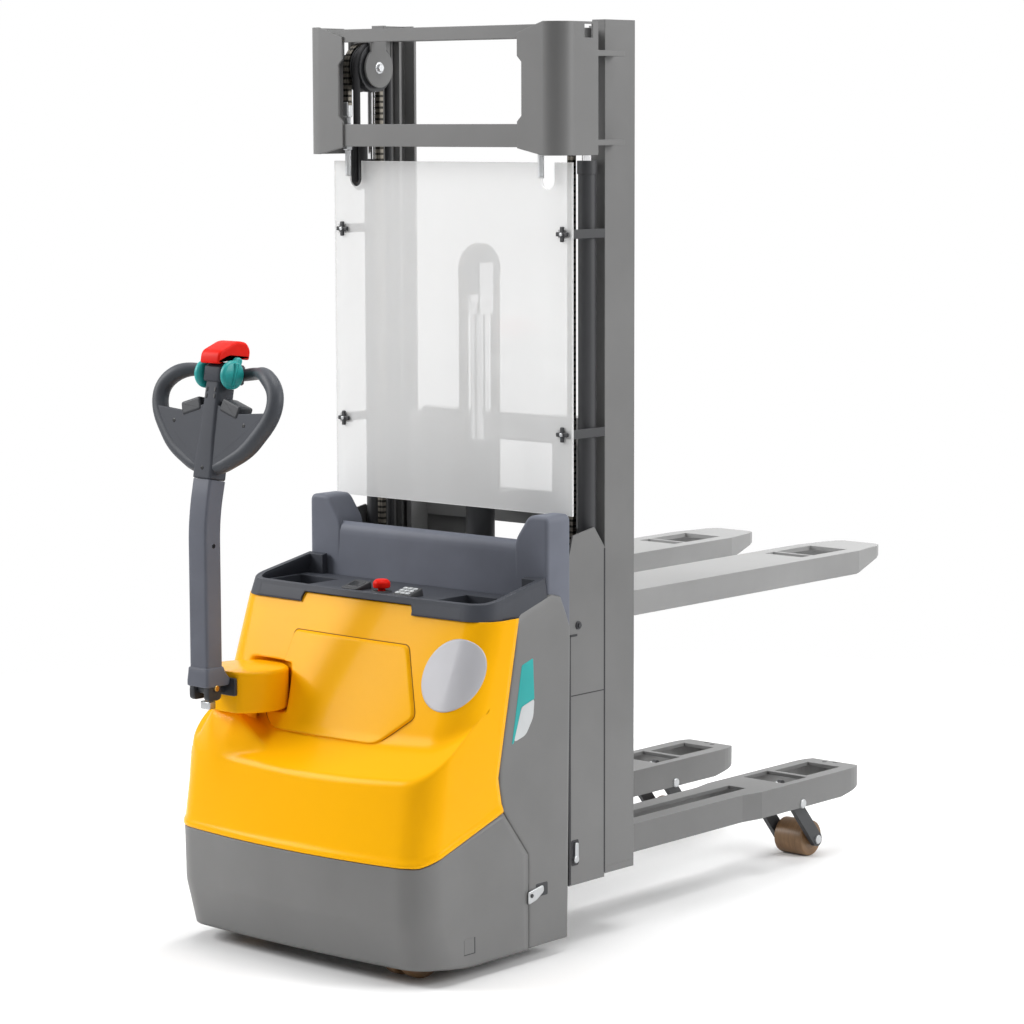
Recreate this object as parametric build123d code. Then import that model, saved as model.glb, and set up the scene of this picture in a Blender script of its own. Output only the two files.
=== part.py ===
from build123d import *
import os
from math import cos, hypot, radians, sin, tan

# Electric double stacker: drive section, load section with initial lift, three-stage mast, tiller
# Millimetres, +Z up, +X to the truck's right, +Y towards the fork tips
# Drawn with Y zero at the rear face of the mast, then moved so the truck is centred in Y

# Clearances
FACE_GAP = 0.3           # faces that slide or turn past each other
BORE_GAP = 0.05          # radial running clearance of a pin in its bore
SEAM = 2.0               # open seam between cover panels
CUT = 1.0                # overshoot of a cutting tool past the face it opens

# Half widths of the mast and of the covers, which reach past it
MAST_HALF = 335.0
COVER_MARGIN = 25.0
HALF_WIDTH = MAST_HALF + COVER_MARGIN

# Cover panels of the drive section
SKIN = 5.0
COVER_REAR = -300.0      # rear end of the cover outlines before the seam cut
APRON_TOP = 255.0
HOOD_EDGE_Z = 733.0
TAB_RISE = 19.0          # tab of the hood above its upper edge
TAB_TOP_Z = HOOD_EDGE_Z + TAB_RISE
TAB_HALF = 158.0
# Cover sections: height, front Y, bow of the front, corner radius
APRON_FOOT = (28.0, -703.0, 8.0, 80.0)
APRON_BREAK = (135.0, -744.0, 20.0, 78.0)
HOOD_FOOT = (APRON_TOP, -748.0, 22.0, 76.0)
CREASE = (412.0, -711.0, 14.0, 78.0)
SHELF = (475.0, -622.0, 10.0, 80.0)
TAB_EDGE = (TAB_TOP_Z, -512.0, 8.0, 60.0)
CREASE_SOFT = 12.0       # reach of the rounding on each side of the crease
SHELF_SOFT = 24.0        # reach of the hollow rounding above the shelf
APRON_RISE_Y = -700.0    # where the apron's upper edge starts to climb towards the seam
RECESS_Y = (-585.0, -551.0)
RECESS_Z = (55.0, 89.0)
RECESS_DEPTH = 2.5
# Seam between the front covers and the side panels, as Y and Z
SEAM_LINE = [(-383.0, 232.0), (-463.0, 334.0), (-477.0, 407.0), (-410.0, 732.0)]
PANEL_BOTTOM = 29.0
PANEL_REAR = [(-265.0, 771.0), (-242.0, 700.0), (-252.0, PANEL_BOTTOM)]
HATCH_HEIGHT = 7.0
# Hatch outline on the upper face of the hood, as X and Z
HATCH_OUTLINE = [
    (-150.0, 673.0),
    (150.0, 673.0),
    (233.0, 548.0),
    (151.0, 475.0),
    (-159.0, 475.0),
    (-190.0, 498.0),
]
LATCH_Y = (-384.0, -336.0)
LATCH_Z = (122.0, 165.0)
LATCH_DEPTH = 6.0

# Console
CONSOLE_REAR = -306.0
CONSOLE_FRONT_TOP = 767.0
CONSOLE_TOP = 803.0      # rim at the rear corners
CONSOLE_RISE_Y = -484.0  # where the rim starts to rise
CONSOLE_FOOT_INSET = 7.0
CONSOLE_TOP_INSET = 18.0
# Console sections: height, half width, front Y, bow, corner radius
CONSOLE_SECTIONS = [
    (HOOD_EDGE_Z, HALF_WIDTH - CONSOLE_FOOT_INSET, -524.0, 7.0, 62.0),
    (CONSOLE_TOP, HALF_WIDTH - CONSOLE_TOP_INSET, -502.0, 7.0, 58.0),
]
CONSOLE_RIM = 14.0
CONSOLE_FLOOR_Z = 758.0
CONSOLE_HOLLOW_Z = 745.0
CONSOLE_OPEN_INSET = 70.0    # ends of the gap in the rear rim, in from the covers
BIN_INSET = 34.0
BIN_X = (-(HALF_WIDTH - BIN_INSET), -200.0)
BIN_Y = (-478.0, -352.0)
BIN_FLOOR_Z = 690.0
BIN_WALL = 4.0
TRAY_INSET = 50.0
TRAY_X = (165.0, HALF_WIDTH - TRAY_INSET)
TRAY_Y = (-470.0, -352.0)
TRAY_FLOOR_Z = 735.0
DISPLAY_X = (-92.0, -36.0)
DISPLAY_Y = (-476.0, -416.0)
KEYS_X = (66.0, 140.0)
KEYS_Y = (-490.0, -426.0)
PLATE_HEIGHT = 4.0
ESTOP_XY = (-2.0, -437.0)
ESTOP_RADIUS = 18.0
ESTOP_STEM_RADIUS = 7.0
ESTOP_CAP_Z = (765.0, 785.0)
ESTOP_STEM_BOTTOM = 747.0
ESTOP_ROUND = 5.0

# Chassis
DECK_Z = (205.0, 217.0)
DECK_FRONT = -700.0
WALL_Y = (-345.0, -337.0)
WALL_INSET = 20.0
WALL_HALF = HALF_WIDTH - WALL_INSET
WALL_Z = (60.0, 733.0)
POST_FRONT = -372.0
POST_TOP = 690.0
GUIDE_X = (185.0, 215.0)
GUIDE_REAR = -322.0
GUIDE_Z = (80.0, 700.0)
STEER_INSET = 151.0      # tiller and drive wheel, in from the side of the covers
STEER_X = -(HALF_WIDTH - STEER_INSET)
TURRET_Y = -637.0
DRIVE_Y = -560.0
RING_RADIUS = 120.0
RING_TOP = 232.0
BRIDGE_HALF = 40.0
BRIDGE_FRONT = -670.0
BRIDGE_Z = (385.0, 400.0)
CASTOR_INSET = 120.0
CASTOR_X = HALF_WIDTH - CASTOR_INSET
CASTOR_Y = -578.0
KINGPIN_RADIUS = 12.0
KINGPIN_TOP = 238.0
KINGPIN_BOSS_RADIUS = 24.0
TANK_INSET = 40.0
TANK_X = (30.0, HALF_WIDTH - TANK_INSET)
TANK_Y = (-540.0, -372.0)
TANK_TOP = 420.0
PUMP_X = (60.0, 290.0)
PUMP_Y = -460.0
PUMP_RADIUS = 55.0
CONTROLLER_INSET = 30.0
CONTROLLER_X = (-(HALF_WIDTH - CONTROLLER_INSET), -60.0)
CONTROLLER_DEPTH = 40.0
CONTROLLER_Z = (470.0, 660.0)

# Initial lift cylinder between chassis and load section
LIFT_Y = -318.0
BARREL_RADIUS = 15.0
BARREL_Z = (72.0, 430.0)
BARREL_FOOT_HALF = 60.0
BARREL_FOOT_PLATE = 12.0
LIFT_ROD_RADIUS = 8.0
LIFT_ROD_Z = (300.0, 560.0)
LIFT_LUG_HALF = 22.0
LIFT_LUG_PLATE = 18.0

# Steering
TURRET_RADIUS = 89.0
TURRET_Z = (515.0, 602.0)
TURRET_ROUND = 14.0
TURRET_FLAT = -712.0
POCKET_GAP = 6.0
POCKET_WALL = 5.0
PEDESTAL_Z = (408.0, 508.0)
PEDESTAL_BOTTOM_RADIUS = 112.0
PEDESTAL_TOP_RADIUS = 48.0
SHAFT_RADIUS = 14.0
SHAFT_CLEAR = 30.0
SPROCKET_RADIUS = 30.0
SPROCKET_Z = (356.0, 366.0)
CHAIN_LINK_THICK = 5.0
CHAIN_LINK_INSET = 2.0
BRACKET_HALF = 45.0
BRACKET_PLATE = 8.0
BRACKET_Z = (530.0, 600.0)
TILT_Y = -757.0
TILT_Z = 573.0
TILT_PIN_RADIUS = 7.0
LUG_HALF = 18.0
LUG_RADIUS = 14.0
CLEVIS_HALF = 34.0
CLEVIS_Y = (-783.0, -738.0)
CLEVIS_Z = (556.0, 640.0)
CLEVIS_SLOT_TOP = 590.0
CLEVIS_ROUND = 10.0

# Drive unit
MOTOR_RADIUS = 58.0
MOTOR_TOP = 350.0
FLANGE_RADIUS = 94.0
FLANGE_BOTTOM = 204.5
GEARBOX_X = (42.0, 88.0)
GEARBOX_Y = (-612.0, -508.0)
GEARBOX_BOTTOM = 50.0
DRIVE_AXLE_RADIUS = 18.0
DRIVE_RADIUS = 100.0
DRIVE_HALF = 32.5
DRIVE_HUB_RADIUS = 78.0
DRIVE_ROUND = 8.0

# Castor
CROWN_RADIUS = 40.0
CROWN_Z = (180.0, 204.7)
CASTOR_LEG_HALF = 8.0
CASTOR_LEG_Y = (-645.0, -548.0)
CASTOR_LEG_BOTTOM = 48.0
CASTOR_AXLE_Y = -610.0
CASTOR_AXLE_RADIUS = 9.0
CASTOR_RADIUS = 62.5
CASTOR_CORE_RADIUS = 31.0
CASTOR_WHEEL_X = (9.0, 37.0)
CASTOR_ROUND = 6.0

# Tiller
COLUMN_HALF = 27.5
COLUMN_Y = (-779.0, -733.0)
COLUMN_BEND_Z = 925.0
COLUMN_TOP = 1010.0
COLUMN_CHAMFER = 6.0
HEAD_TILT = -11.0        # head and top of the column lean back towards the truck
NECK_HALF = 27.0
NECK_DROP = 6.0          # neck drawn past the joint, then cut level with the column's top
SPINE_HALF = 23.0
SPINE_TOP = 205.0
SPINE_DEPTH = (-25.0, 23.0)
HEAD_HUB_HALF = 28.0
HEAD_HUB_TOP = 238.0
HEAD_HUB_DEPTH = (-32.0, 30.0)
WEB_OUTLINE = [(10.0, 8.0), (40.0, 14.0), (152.0, 100.0), (166.0, 140.0), (70.0, 136.0), (10.0, 158.0)]
WEB_DEPTH = (-18.0, 4.0)
GRIP_PATH = [(54.0, 229.0), (112.0, 224.0), (171.0, 182.0), (166.0, 118.0), (90.0, 34.0), (6.0, 14.0)]
GRIP_Y = -7.0
GRIP_BEND = 42.0
GRIP_ARM_X = (28.0, 80.0)
GRIP_ARM_Y = (21.0, 31.0)
GRIP_ARM_W = (196.0, 222.0)
GRIP_KNUCKLE_X = (56.0, 80.0)
GRIP_RADIUS = 17.0
BELLY_HALF = 27.0
BELLY_PROFILE = [(-40.0, 247.0), (-40.0, 279.0), (-28.0, 291.0), (34.0, 291.0), (44.0, 279.0), (44.0, 245.0)]
BELLY_SKIRT_TOP = 257.0
BELLY_SKIRT_DEPTH = 35.0
BELLY_STEM = (10.0, 14.0)
BELLY_STEM_BOTTOM = 236.0
BELLY_WELL_BOTTOM = 229.5
SWITCH_SHAFT_RADIUS = 8.0
SWITCH_SHAFT_Y = -10.0
SWITCH_SHAFT_W = 220.0
SWITCH_WING_X = (29.0, 48.0)
SWITCH_WING_RADIUS = 30.0
SWITCH_PADDLE = [(-8.0, 22.0), (12.0, 42.0), (28.0, 36.0), (20.0, 12.0)]
ROCKER_X = (28.0, 82.0)
ROCKER_DEPTH = (-19.0, 15.0)
ROCKER_HEIGHT = 24.0
ROCKER_ORIGIN_W = 146.5
ROCKER_SLOPE = 17.0
ROCKER_LIFT = 2.5        # gap under the rocker for its swing
ROCKER_PIN_RADIUS = 3.0
ROCKER_PIN_HALF = 12.0
ROCKER_PIN_W = 6.0
ROCKER_POST = (4.0, 5.0)
ROCKER_POST_ROOM = 1.0

# Mast rails: outer, middle and inner stage nest inside each other
MAST_DEPTH = 100.0
MAST_TOP = 1962.0


def below_top(*drops):
    return tuple(MAST_TOP - drop for drop in drops)


STAGE_GAP = 3.0
FOOT_Z = (137.0, 152.0)
OUTER_LEG = 35.0
OUTER_TIP = MAST_HALF - OUTER_LEG
OUTER_WEB = 10.0
OUTER_FLANGE = 9.0
MIDDLE_HALF = MAST_HALF - OUTER_WEB - STAGE_GAP
MIDDLE_LEG = 34.0
MIDDLE_TIP = MIDDLE_HALF - MIDDLE_LEG
MIDDLE_WEB = 8.0
MIDDLE_FLANGE = 7.0
MIDDLE_TOP_DROP = 7.0
MIDDLE_Z = (158.0, MAST_TOP - MIDDLE_TOP_DROP)
INNER_HALF = MIDDLE_HALF - MIDDLE_WEB - STAGE_GAP
INNER_LEG = 38.0
INNER_TIP = INNER_HALF - INNER_LEG
INNER_WEB = 8.0
INNER_FLANGE = 7.0
INNER_TOP_DROP = 12.0
INNER_Z = (164.0, MAST_TOP - INNER_TOP_DROP)
PAD_LENGTH = 60.0
PAD_INSET = 5.0

# Load section
FOOT_FRONT = -295.0
FOOT_PLATE = 8.0
COVER_THICK = 4.0
FOOT_HALF = MAST_HALF - COVER_THICK
FOOT_FRONT_TOP = 720.0
FOOT_BACK_HALF = OUTER_TIP - SEAM
FOOT_BACK_THICK = 10.0
ARM_TOP = 201.0
SHOE_X = (170.0, 230.0)
SHOE_FRONT = -331.0
SHOE_Z = (300.0, 450.0)
COVER_OUTLINE = [
    (-220.0, 130.0),
    (-101.0, 130.0),
    (-101.0, 850.0),
    (-135.0, 894.0),
    (-206.0, 882.0),
    (-220.0, 836.0),
]
COVER_RETURN = 14.0
BATTERY_ROOM = 13.0
BATTERY_HALF = FOOT_HALF - BATTERY_ROOM
BATTERY_Y = (-285.0, -165.0)
BATTERY_TOP = 735.0
PANEL_OVERHANG = 10.0
PANEL_HALF = MAST_HALF + PANEL_OVERHANG
PANEL_Y = (-300.0, -295.0)
PANEL_Z = (600.0, 877.0)
EAR_TOP = 932.0
EAR_WIDTH = 95.0
EAR_TOP_WIDTH = 55.0
EAR_INNER = PANEL_HALF - EAR_WIDTH
EAR_TOP_INNER = PANEL_HALF - EAR_TOP_WIDTH
EAR_CHAMFER = 15.0
EAR_REAR = -225.0
EAR_BOTTOM = 640.0
SCREEN_OVERHANG = 7.0
SCREEN_HALF = MAST_HALF + SCREEN_OVERHANG
SCREEN_Y = (-217.0, -212.0)
SCREEN_DROP = 297.0      # top of the screen below the top of the mast
SCREEN_Z = (925.0, MAST_TOP - SCREEN_DROP)
ANCHOR_INSET = 58.0      # lift chains in from the side of the mast
ANCHOR_X = MAST_HALF - ANCHOR_INSET
NOTCH_HALF = 17.5
NOTCH_DEPTH = 56.0
NOTCH_BOTTOM = SCREEN_Z[1] - NOTCH_DEPTH
SCREEN_BOLT_INSET = 18.0
SCREEN_BOLT_X = MAST_HALF - SCREEN_BOLT_INSET
SCREEN_BOLT_DROP = 149.0     # upper screen bolt below the top of the screen
SCREEN_BOLT_Z = (SCREEN_Z[1] - SCREEN_BOLT_DROP, 1096.0)
SCREEN_BOLT_RADIUS = 8.0
SCREEN_BOLT_HEAD = 5.0
SCREEN_TAB_HALF = 9.0
SCREEN_TAB_PLATE = 4.0
GUARD_OVERHANG = 31.0    # stand-off of the guard's sides from the mast
GUARD_HALF = MAST_HALF + GUARD_OVERHANG
GUARD_FRONT = -285.0
GUARD_REAR = -160.0
GUARD_WIDTH = 116.0
GUARD_INNER = GUARD_HALF - GUARD_WIDTH
GUARD_THICK = 4.0
GUARD_RECESS = 12.0      # depth of the recess in the inner edge of each corner plate
GUARD_RECESS_Z = below_top(212.0, 77.0)
GUARD_BEND = 46.0
GUARD_Z = below_top(282.0, 7.0)
GUARD_DROP = 22.0        # fall of the guard's top edge towards the centre
GUARD_LIFT = 15.0        # rise of its bottom edge towards the centre
GUARD_WINDOW_Y = (-205.0, -178.0)
GUARD_WINDOW_Z = below_top(40.0, 12.0)
CROSSBAR_LAP = 60.0
CROSSBAR_HALF = GUARD_INNER + CROSSBAR_LAP
CROSSBAR_PLATE = 6.0
CROSSBAR_LOW_Z = below_top(265.0, 217.0)
CROSSBAR_HIGH_Z = below_top(41.0, 13.0)
GUARD_TAB_Y = (-185.0, -72.0)
GUARD_TAB_Z = [below_top(262.0, 250.0), below_top(77.0, 65.0)]
ANCHOR_LUG_HALF = 15.0
ANCHOR_LUG_Z = below_top(250.0, 236.0)
ANCHOR_LUG_REAR = -226.0
STUD_RADIUS = 7.0
STUD_Z = below_top(330.0, 176.0)
NUT_RADIUS = 12.0
NUT_Z = below_top(264.0, 250.0)

# Support arms with their links and wheels
ARM_X = 190.0            # centre of each arm and fork
ARM_NARROW_HALF = 68.0
ARM_WIDE_HALF = 79.5
ARM_STEP_Y = (500.0, 560.0)
ARM_END_Y = 998.0
ARM_BOTTOM = 138.0
ARM_WALL = 8.0
ARM_CAVITY_END = 16.0    # solid nose in front of the arm's hollow
ARM_NOSE = 98.0          # length of the rounded end
ARM_NOSE_STEPS = 10
ARM_NOSE_POWER = 2.5     # 2 is an ellipse, more is squarer
ARM_NOSE_FLAT = 11.0


def arm_nose(step):
    turn = radians(90 * step / ARM_NOSE_STEPS)
    half = ARM_WIDE_HALF * cos(turn) ** (2 / ARM_NOSE_POWER)
    return half, ARM_END_Y - ARM_NOSE + ARM_NOSE * sin(turn) ** (2 / ARM_NOSE_POWER)


# Half widths towards the tip, with their Y
ARM_TIP = [arm_nose(step) for step in range(ARM_NOSE_STEPS)] + [(ARM_NOSE_FLAT, ARM_END_Y)]
ARM_TOP_FALL = [(966.0, ARM_TOP), (ARM_END_Y, 191.0)]
ARM_UNDER_RISE = [(880.0, ARM_BOTTOM), (ARM_END_Y, 158.0)]
ARM_SLOT_X = (165.0, 215.0)
ARM_SLOT_Y = (60.0, 570.0)
LEVER_SLOT_X = (132.0, 248.0)
LEVER_SLOT_Y = (672.0, 768.0)
POCKET_X = (143.0, 237.0)
POCKET_Y = (782.0, 918.0)
POCKET_DEPTH = 24.0
LINK_Y = 722.0
LINK_Z = 147.0
LINK_PIN_RADIUS = 10.0
LINK_PIN_HALF = 81.0
LINK_PIN_X = (ARM_X - LINK_PIN_HALF, ARM_X + LINK_PIN_HALF)
LINK_HUB_RADIUS = 20.0
LINK_END_RADIUS = 17.0
LINK_PLATE_X = [(131.0, 143.0), (237.0, 249.0)]
LOAD_AXLE_Y = 813.0
LOAD_AXLE_RADIUS = 8.5
LOAD_RADIUS = 42.5
LOAD_WHEEL_X = (150.0, 230.0)
LOAD_CORE_RADIUS = 26.0
LOAD_ROUND = 4.0
EAR_REACH = 40.0
EAR_ANGLE = 60.0
EAR_RADIUS = 9.0
EAR_HALF = 6.0
PUSH_ROD_Z = 182.0
PUSH_ROD_RADIUS = 7.0
PUSH_ROD_Y = (-30.0, 725.0)
PUSH_HOLE_GAP = 0.4      # guide hole of the push rod, radial

# Side lift cylinders
SIDE_INSET = 26.0
SIDE_X = MAST_HALF - SIDE_INSET
SIDE_Y = -128.0
SIDE_RADIUS = 19.0
SIDE_DROP = 322.0        # top of each cylinder below the top of the mast
SIDE_TOP = MAST_TOP - SIDE_DROP
GLAND_RADIUS = 21.0
GLAND_HEIGHT = 28.0
GLAND_TOP = SIDE_TOP + GLAND_HEIGHT
SIDE_ROD_RADIUS = 11.0
SIDE_ROD_BOTTOM = 170.0
ROD_LUG_HALF = 19.0
ROD_LUG_X = (SIDE_X - ROD_LUG_HALF, SIDE_X + ROD_LUG_HALF)
ROD_LUG_Y = (-147.0, -109.0)
ROD_LUG_Z = below_top(77.0, 65.0)

# Head of the middle mast and its sheaves
SHEAVE_Y = -190.0
SHEAVE_DROP = 95.0
SHEAVE_Z = MAST_TOP - SHEAVE_DROP
SHEAVE_AXLE_RADIUS = 8.0
PULLEY_HALF = 12.0
SHEAVE_X = (ANCHOR_X - PULLEY_HALF, ANCHOR_X + PULLEY_HALF)
SHEAVE_ROOT = 43.7
SHEAVE_FLANGE = 52.0
SHEAVE_FLANGE_THICK = 3.5
HOSE_INSET = 27.0        # hose in from the left lift chain
HOSE_X = -(ANCHOR_X - HOSE_INSET)
HOSE_PULLEY_X = (-HOSE_X - PULLEY_HALF, -HOSE_X + PULLEY_HALF)
HOSE_RADIUS = 8.0
HOSE_PITCH = 50.0
HOSE_ROOT = 41.6
HEAD_ARM_GAP = 1.0
HEAD_ARM_PLATE = 8.0
HEAD_ARM_X = (SHEAVE_X[1] + HEAD_ARM_GAP, SHEAVE_X[1] + HEAD_ARM_GAP + HEAD_ARM_PLATE)
# Outline of the head's arm: Y, and height above the sheave
HEAD_ARM_OUTLINE = [(-88.0, 23.0), (-88.0, 78.0), (-215.0, 78.0), (-215.0, -22.0), (-172.0, -22.0), (-150.0, 18.0)]
HEAD_ARM = [(y, SHEAVE_Z + rise) for y, rise in HEAD_ARM_OUTLINE]
HEAD_BAR_Y = (-215.0, -205.0)
HEAD_BAR_Z = below_top(38.0, 17.0)
HEAD_HANGER_Y = (-215.0, -168.0)
HEAD_DISC_GAP = 5.0
HEAD_DISC_PLATE = 5.0
HEAD_DISC_X = (HOSE_PULLEY_X[0] - HEAD_DISC_GAP - HEAD_DISC_PLATE, HOSE_PULLEY_X[0] - HEAD_DISC_GAP)
HEAD_DISC_RADIUS = 43.0
MIDDLE_BAR_LAP = 9.0
MIDDLE_BAR_HALF = MIDDLE_TIP + MIDDLE_BAR_LAP
MIDDLE_BAR_THICK = 18.0
MIDDLE_BAR_Z = (158.0, 185.0)
LIFT_CHAIN_HALF = 8.0
LIFT_CHAIN_INNER = 44.0
CHAIN_THICK = 12.0
LIFT_CHAIN_BOTTOM = 300.0

# Inner mast crossbars and free lift
INNER_BAR_LAP = 12.0
INNER_BAR_HALF = INNER_TIP + INNER_BAR_LAP
INNER_BAR_THICK = 8.0
INNER_BAR_LOW_Z = (192.0, 260.0)
INNER_BAR_HIGH_Z = below_top(36.0, 17.0)
CHAIN_BRACKET_HALF = 6.0
CHAIN_BRACKET_X = (ANCHOR_X - CHAIN_BRACKET_HALF, ANCHOR_X + CHAIN_BRACKET_HALF)
CHAIN_BRACKET_FRONT = -150.0
CHAIN_BRACKET_BOTTOM = 250.0
HOSE_PLATE_X = (-CHAIN_BRACKET_X[1], -HOSE_PULLEY_X[0])
HOSE_PLATE_REAR = -128.0
HOSE_PLATE_THICK = 10.0
FREE_Y = -121.0
FREE_RADIUS = 32.0
FREE_TOP = 1060.0
FREE_FOOT_HALF = 40.0
FREE_FOOT_Z = (192.0, 204.0)
FREE_FOOT_FRONT = -155.0
FREE_ROD_RADIUS = 20.0
FREE_ROD_Z = (485.0, 1340.0)
FREE_SHEAVE_Z = 1430.0
FREE_AXLE_RADIUS = 9.0
FREE_SHEAVE_HALF = 14.0
FREE_SHEAVE_ROOT = 45.7
FREE_SHEAVE_FLANGE = 54.0
FREE_CHAIN_HALF = 9.5
FREE_CHAIN_INNER = 46.0
FREE_CHAIN_FRONT_BOTTOM = 985.0
FREE_CHAIN_REAR_BOTTOM = 940.0
ANCHOR_FRONT_Z = (950.0, 985.0)
ANCHOR_FRONT_Y = -180.0
YOKE_X = (15.0, 21.0)
YOKE_HALF_DEPTH = 22.0
YOKE_TOP = 1446.0
YOKE_BASE_Z = (1335.0, 1360.0)

# Fork carriage and forks
CARRIAGE_GAP = 7.0       # carriage plate to the tip of the inner rail
CARRIAGE_PLATE = 14.0
CARRIAGE_X = (INNER_TIP - CARRIAGE_GAP - CARRIAGE_PLATE, INNER_TIP - CARRIAGE_GAP)
CARRIAGE_Y = (-70.0, -16.0)
CARRIAGE_Z = (690.0, 1105.0)
CARRIAGE_BAR_Y = (-16.0, 5.0)
CARRIAGE_BARS_Z = [(867.0, 942.0), (1050.0, 1110.0)]
CHAIN_LUG_HALF = 16.0
CHAIN_LUG_FRONT = -77.0
CHAIN_LUG_BOTTOM = 905.0
ROLLER_RADIUS = 20.5
ROLLER_Y = -50.0
ROLLER_INSET = (6.0, 2.0)    # roller to the rail's tip and to its web
ROLLER_X = (INNER_TIP + ROLLER_INSET[0], INNER_HALF - INNER_WEB - ROLLER_INSET[1])
ROLLER_Z = [730.0, 1065.0]
ROLLER_STUB_RADIUS = 8.0
FORK_HALF = 90.0
FORK_X = (ARM_X - FORK_HALF, ARM_X + FORK_HALF)
FORK_Z = (675.0, 730.0)
FORK_TIP_Y = 1063.0
FORK_PLATE = 10.0
FORK_WALL = 8.0
# Half widths of the fork and of its hollow towards the tip, with their Y
FORK_EDGE = [(FORK_HALF, 930.0), (69.0, 1034.0), (60.0, 1054.0), (46.0, FORK_TIP_Y)]
FORK_CAVITY_EDGE = [(FORK_HALF - FORK_WALL, 925.0), (56.0, 1040.0)]
FORK_UNDER = [(919.0, FORK_Z[0]), (FORK_TIP_Y, 706.0)]
FORK_POCKET_X = (136.0, 244.0)
FORK_POCKETS_Y = [(746.0, 782.0), (792.0, 930.0)]
SHANK_Y = (5.0, 30.0)
SHANK_BOTTOM = 720.0
SHANK_TOP = 1110.0

LOW_CENTRE = (Align.CENTER, Align.CENTER, Align.MIN)


# Shape helpers
def block(x, y, z):
    """Box between the low and high values of each axis."""
    return Pos(x[0], y[0], z[0]) * Box(x[1] - x[0], y[1] - y[0], z[1] - z[0], align=(Align.MIN,) * 3)


def span(half):
    """Range that lies evenly about zero."""
    return (-half, half)


def shaft_x(x, y, z, radius):
    """Round bar along X."""
    return Pos(x[0], y, z) * Rot(0, 90, 0) * Cylinder(radius, x[1] - x[0], align=LOW_CENTRE)


def shaft_y(x, y, z, radius):
    """Round bar along Y."""
    return Pos(x, y[0], z) * Rot(-90, 0, 0) * Cylinder(radius, y[1] - y[0], align=LOW_CENTRE)


def shaft_z(x, y, z, radius):
    """Round bar along Z."""
    return Pos(x, y, z[0]) * Cylinder(radius, z[1] - z[0], align=LOW_CENTRE)


def plate_x(points, x):
    """Flat plate with an outline in Y and Z."""
    face = make_face(Polyline([(x[0], y, z) for y, z in points], close=True))
    return extrude(face, amount=x[1] - x[0], dir=(1, 0, 0))


def plate_y(points, y):
    """Flat plate with an outline in X and Z."""
    face = make_face(Polyline([(x, y[0], z) for x, z in points], close=True))
    return extrude(face, amount=y[1] - y[0], dir=(0, 1, 0))


def plate_z(points, z):
    """Flat plate with an outline in X and Y."""
    face = make_face(Polyline([(x, y, z[0]) for x, y in points], close=True))
    return extrude(face, amount=z[1] - z[0], dir=(0, 0, 1))


def mirrored(shape):
    """The same shape on the other side of the truck."""
    return mirror(shape, about=Plane.YZ)


def flipped(limits):
    """The same X range on the other side of the truck."""
    return (-limits[1], -limits[0])


def both(shape):
    """A right-hand shape together with its left-hand copy."""
    return [shape, mirrored(shape)]


def bar_slot(start, end, radius, x):
    """Straight link with round ends, from one Y and Z point to another."""
    run = Vector(0, end[0] - start[0], end[1] - start[1])
    middle = (x[0], (start[0] + end[0]) / 2, (start[1] + end[1]) / 2)
    flat = Plane(origin=middle, x_dir=run.normalized(), z_dir=(1, 0, 0))
    return extrude(flat * SlotCenterToCenter(run.length, 2 * radius), amount=x[1] - x[0])


def soften(before, corner, after, reach):
    """Three sections that round off one corner of a cover's profile."""

    def part_way(end):
        share = reach / hypot(end[0] - corner[0], end[1] - corner[1])
        return [here + share * (there - here) for here, there in zip(corner, end)]

    low = part_way(before)
    high = part_way(after)
    middle = [here / 2 + (first + last) / 4 for here, first, last in zip(corner, low, high)]
    return [low, middle, high]


def outline(z, half, front, bow, corner):
    """Plan section of a cover with rounded front corners and a bowed front."""
    straight = front + bow
    slack = corner * (1 - cos(radians(45)))
    right = [(half, straight + corner), (half - slack, straight + slack), (half - corner, straight)]
    left = [(-x, y) for x, y in reversed(right)]
    edges = [
        Line((half, COVER_REAR), right[0]),
        ThreePointArc(*right),
        ThreePointArc(right[2], (0, front), left[0]),
        ThreePointArc(*left),
        Line(left[2], (-half, COVER_REAR)),
        Line((-half, COVER_REAR), (half, COVER_REAR)),
    ]
    return Pos(0, 0, z) * make_face(edges)


def cover(sections, grow):
    """Solid body of a cover, grown outwards by the given amount."""
    faces = []
    for z, front, bow, corner in sections:
        faces.append(outline(z, HALF_WIDTH + grow, front - grow, bow, corner + grow))
    return loft(faces, ruled=True)


def half_ring_x(x, y, z, inner, outer):
    """Upper half of a ring about the X axis."""
    ring = shaft_x(x, y, z, outer) - shaft_x((x[0] - CUT, x[1] + CUT), y, z, inner)
    return ring & block((x[0], x[1]), (y - outer, y + outer), (z, z + outer))


def hanging_chain(x, y, z, inner, front_bottom, rear_bottom):
    """Leaf chain that hangs down both sides of a sheave."""
    outer = inner + CHAIN_THICK
    front = block(x, (y - outer, y - inner), (front_bottom, z))
    rear = block(x, (y + inner, y + outer), (rear_bottom, z))
    return front + half_ring_x(x, y, z, inner, outer) + rear


def wheel(x, y, z, radius, core, bore, rounding):
    """Hub and tyre of a wheel on the X axis, as two solids."""
    tyre = shaft_x(x, y, z, radius)
    tyre = fillet(tyre.edges().filter_by(GeomType.CIRCLE), rounding) - shaft_x(x, y, z, core)
    hub = shaft_x(x, y, z, core) - shaft_x(x, y, z, bore)
    return [hub, tyre]


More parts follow.
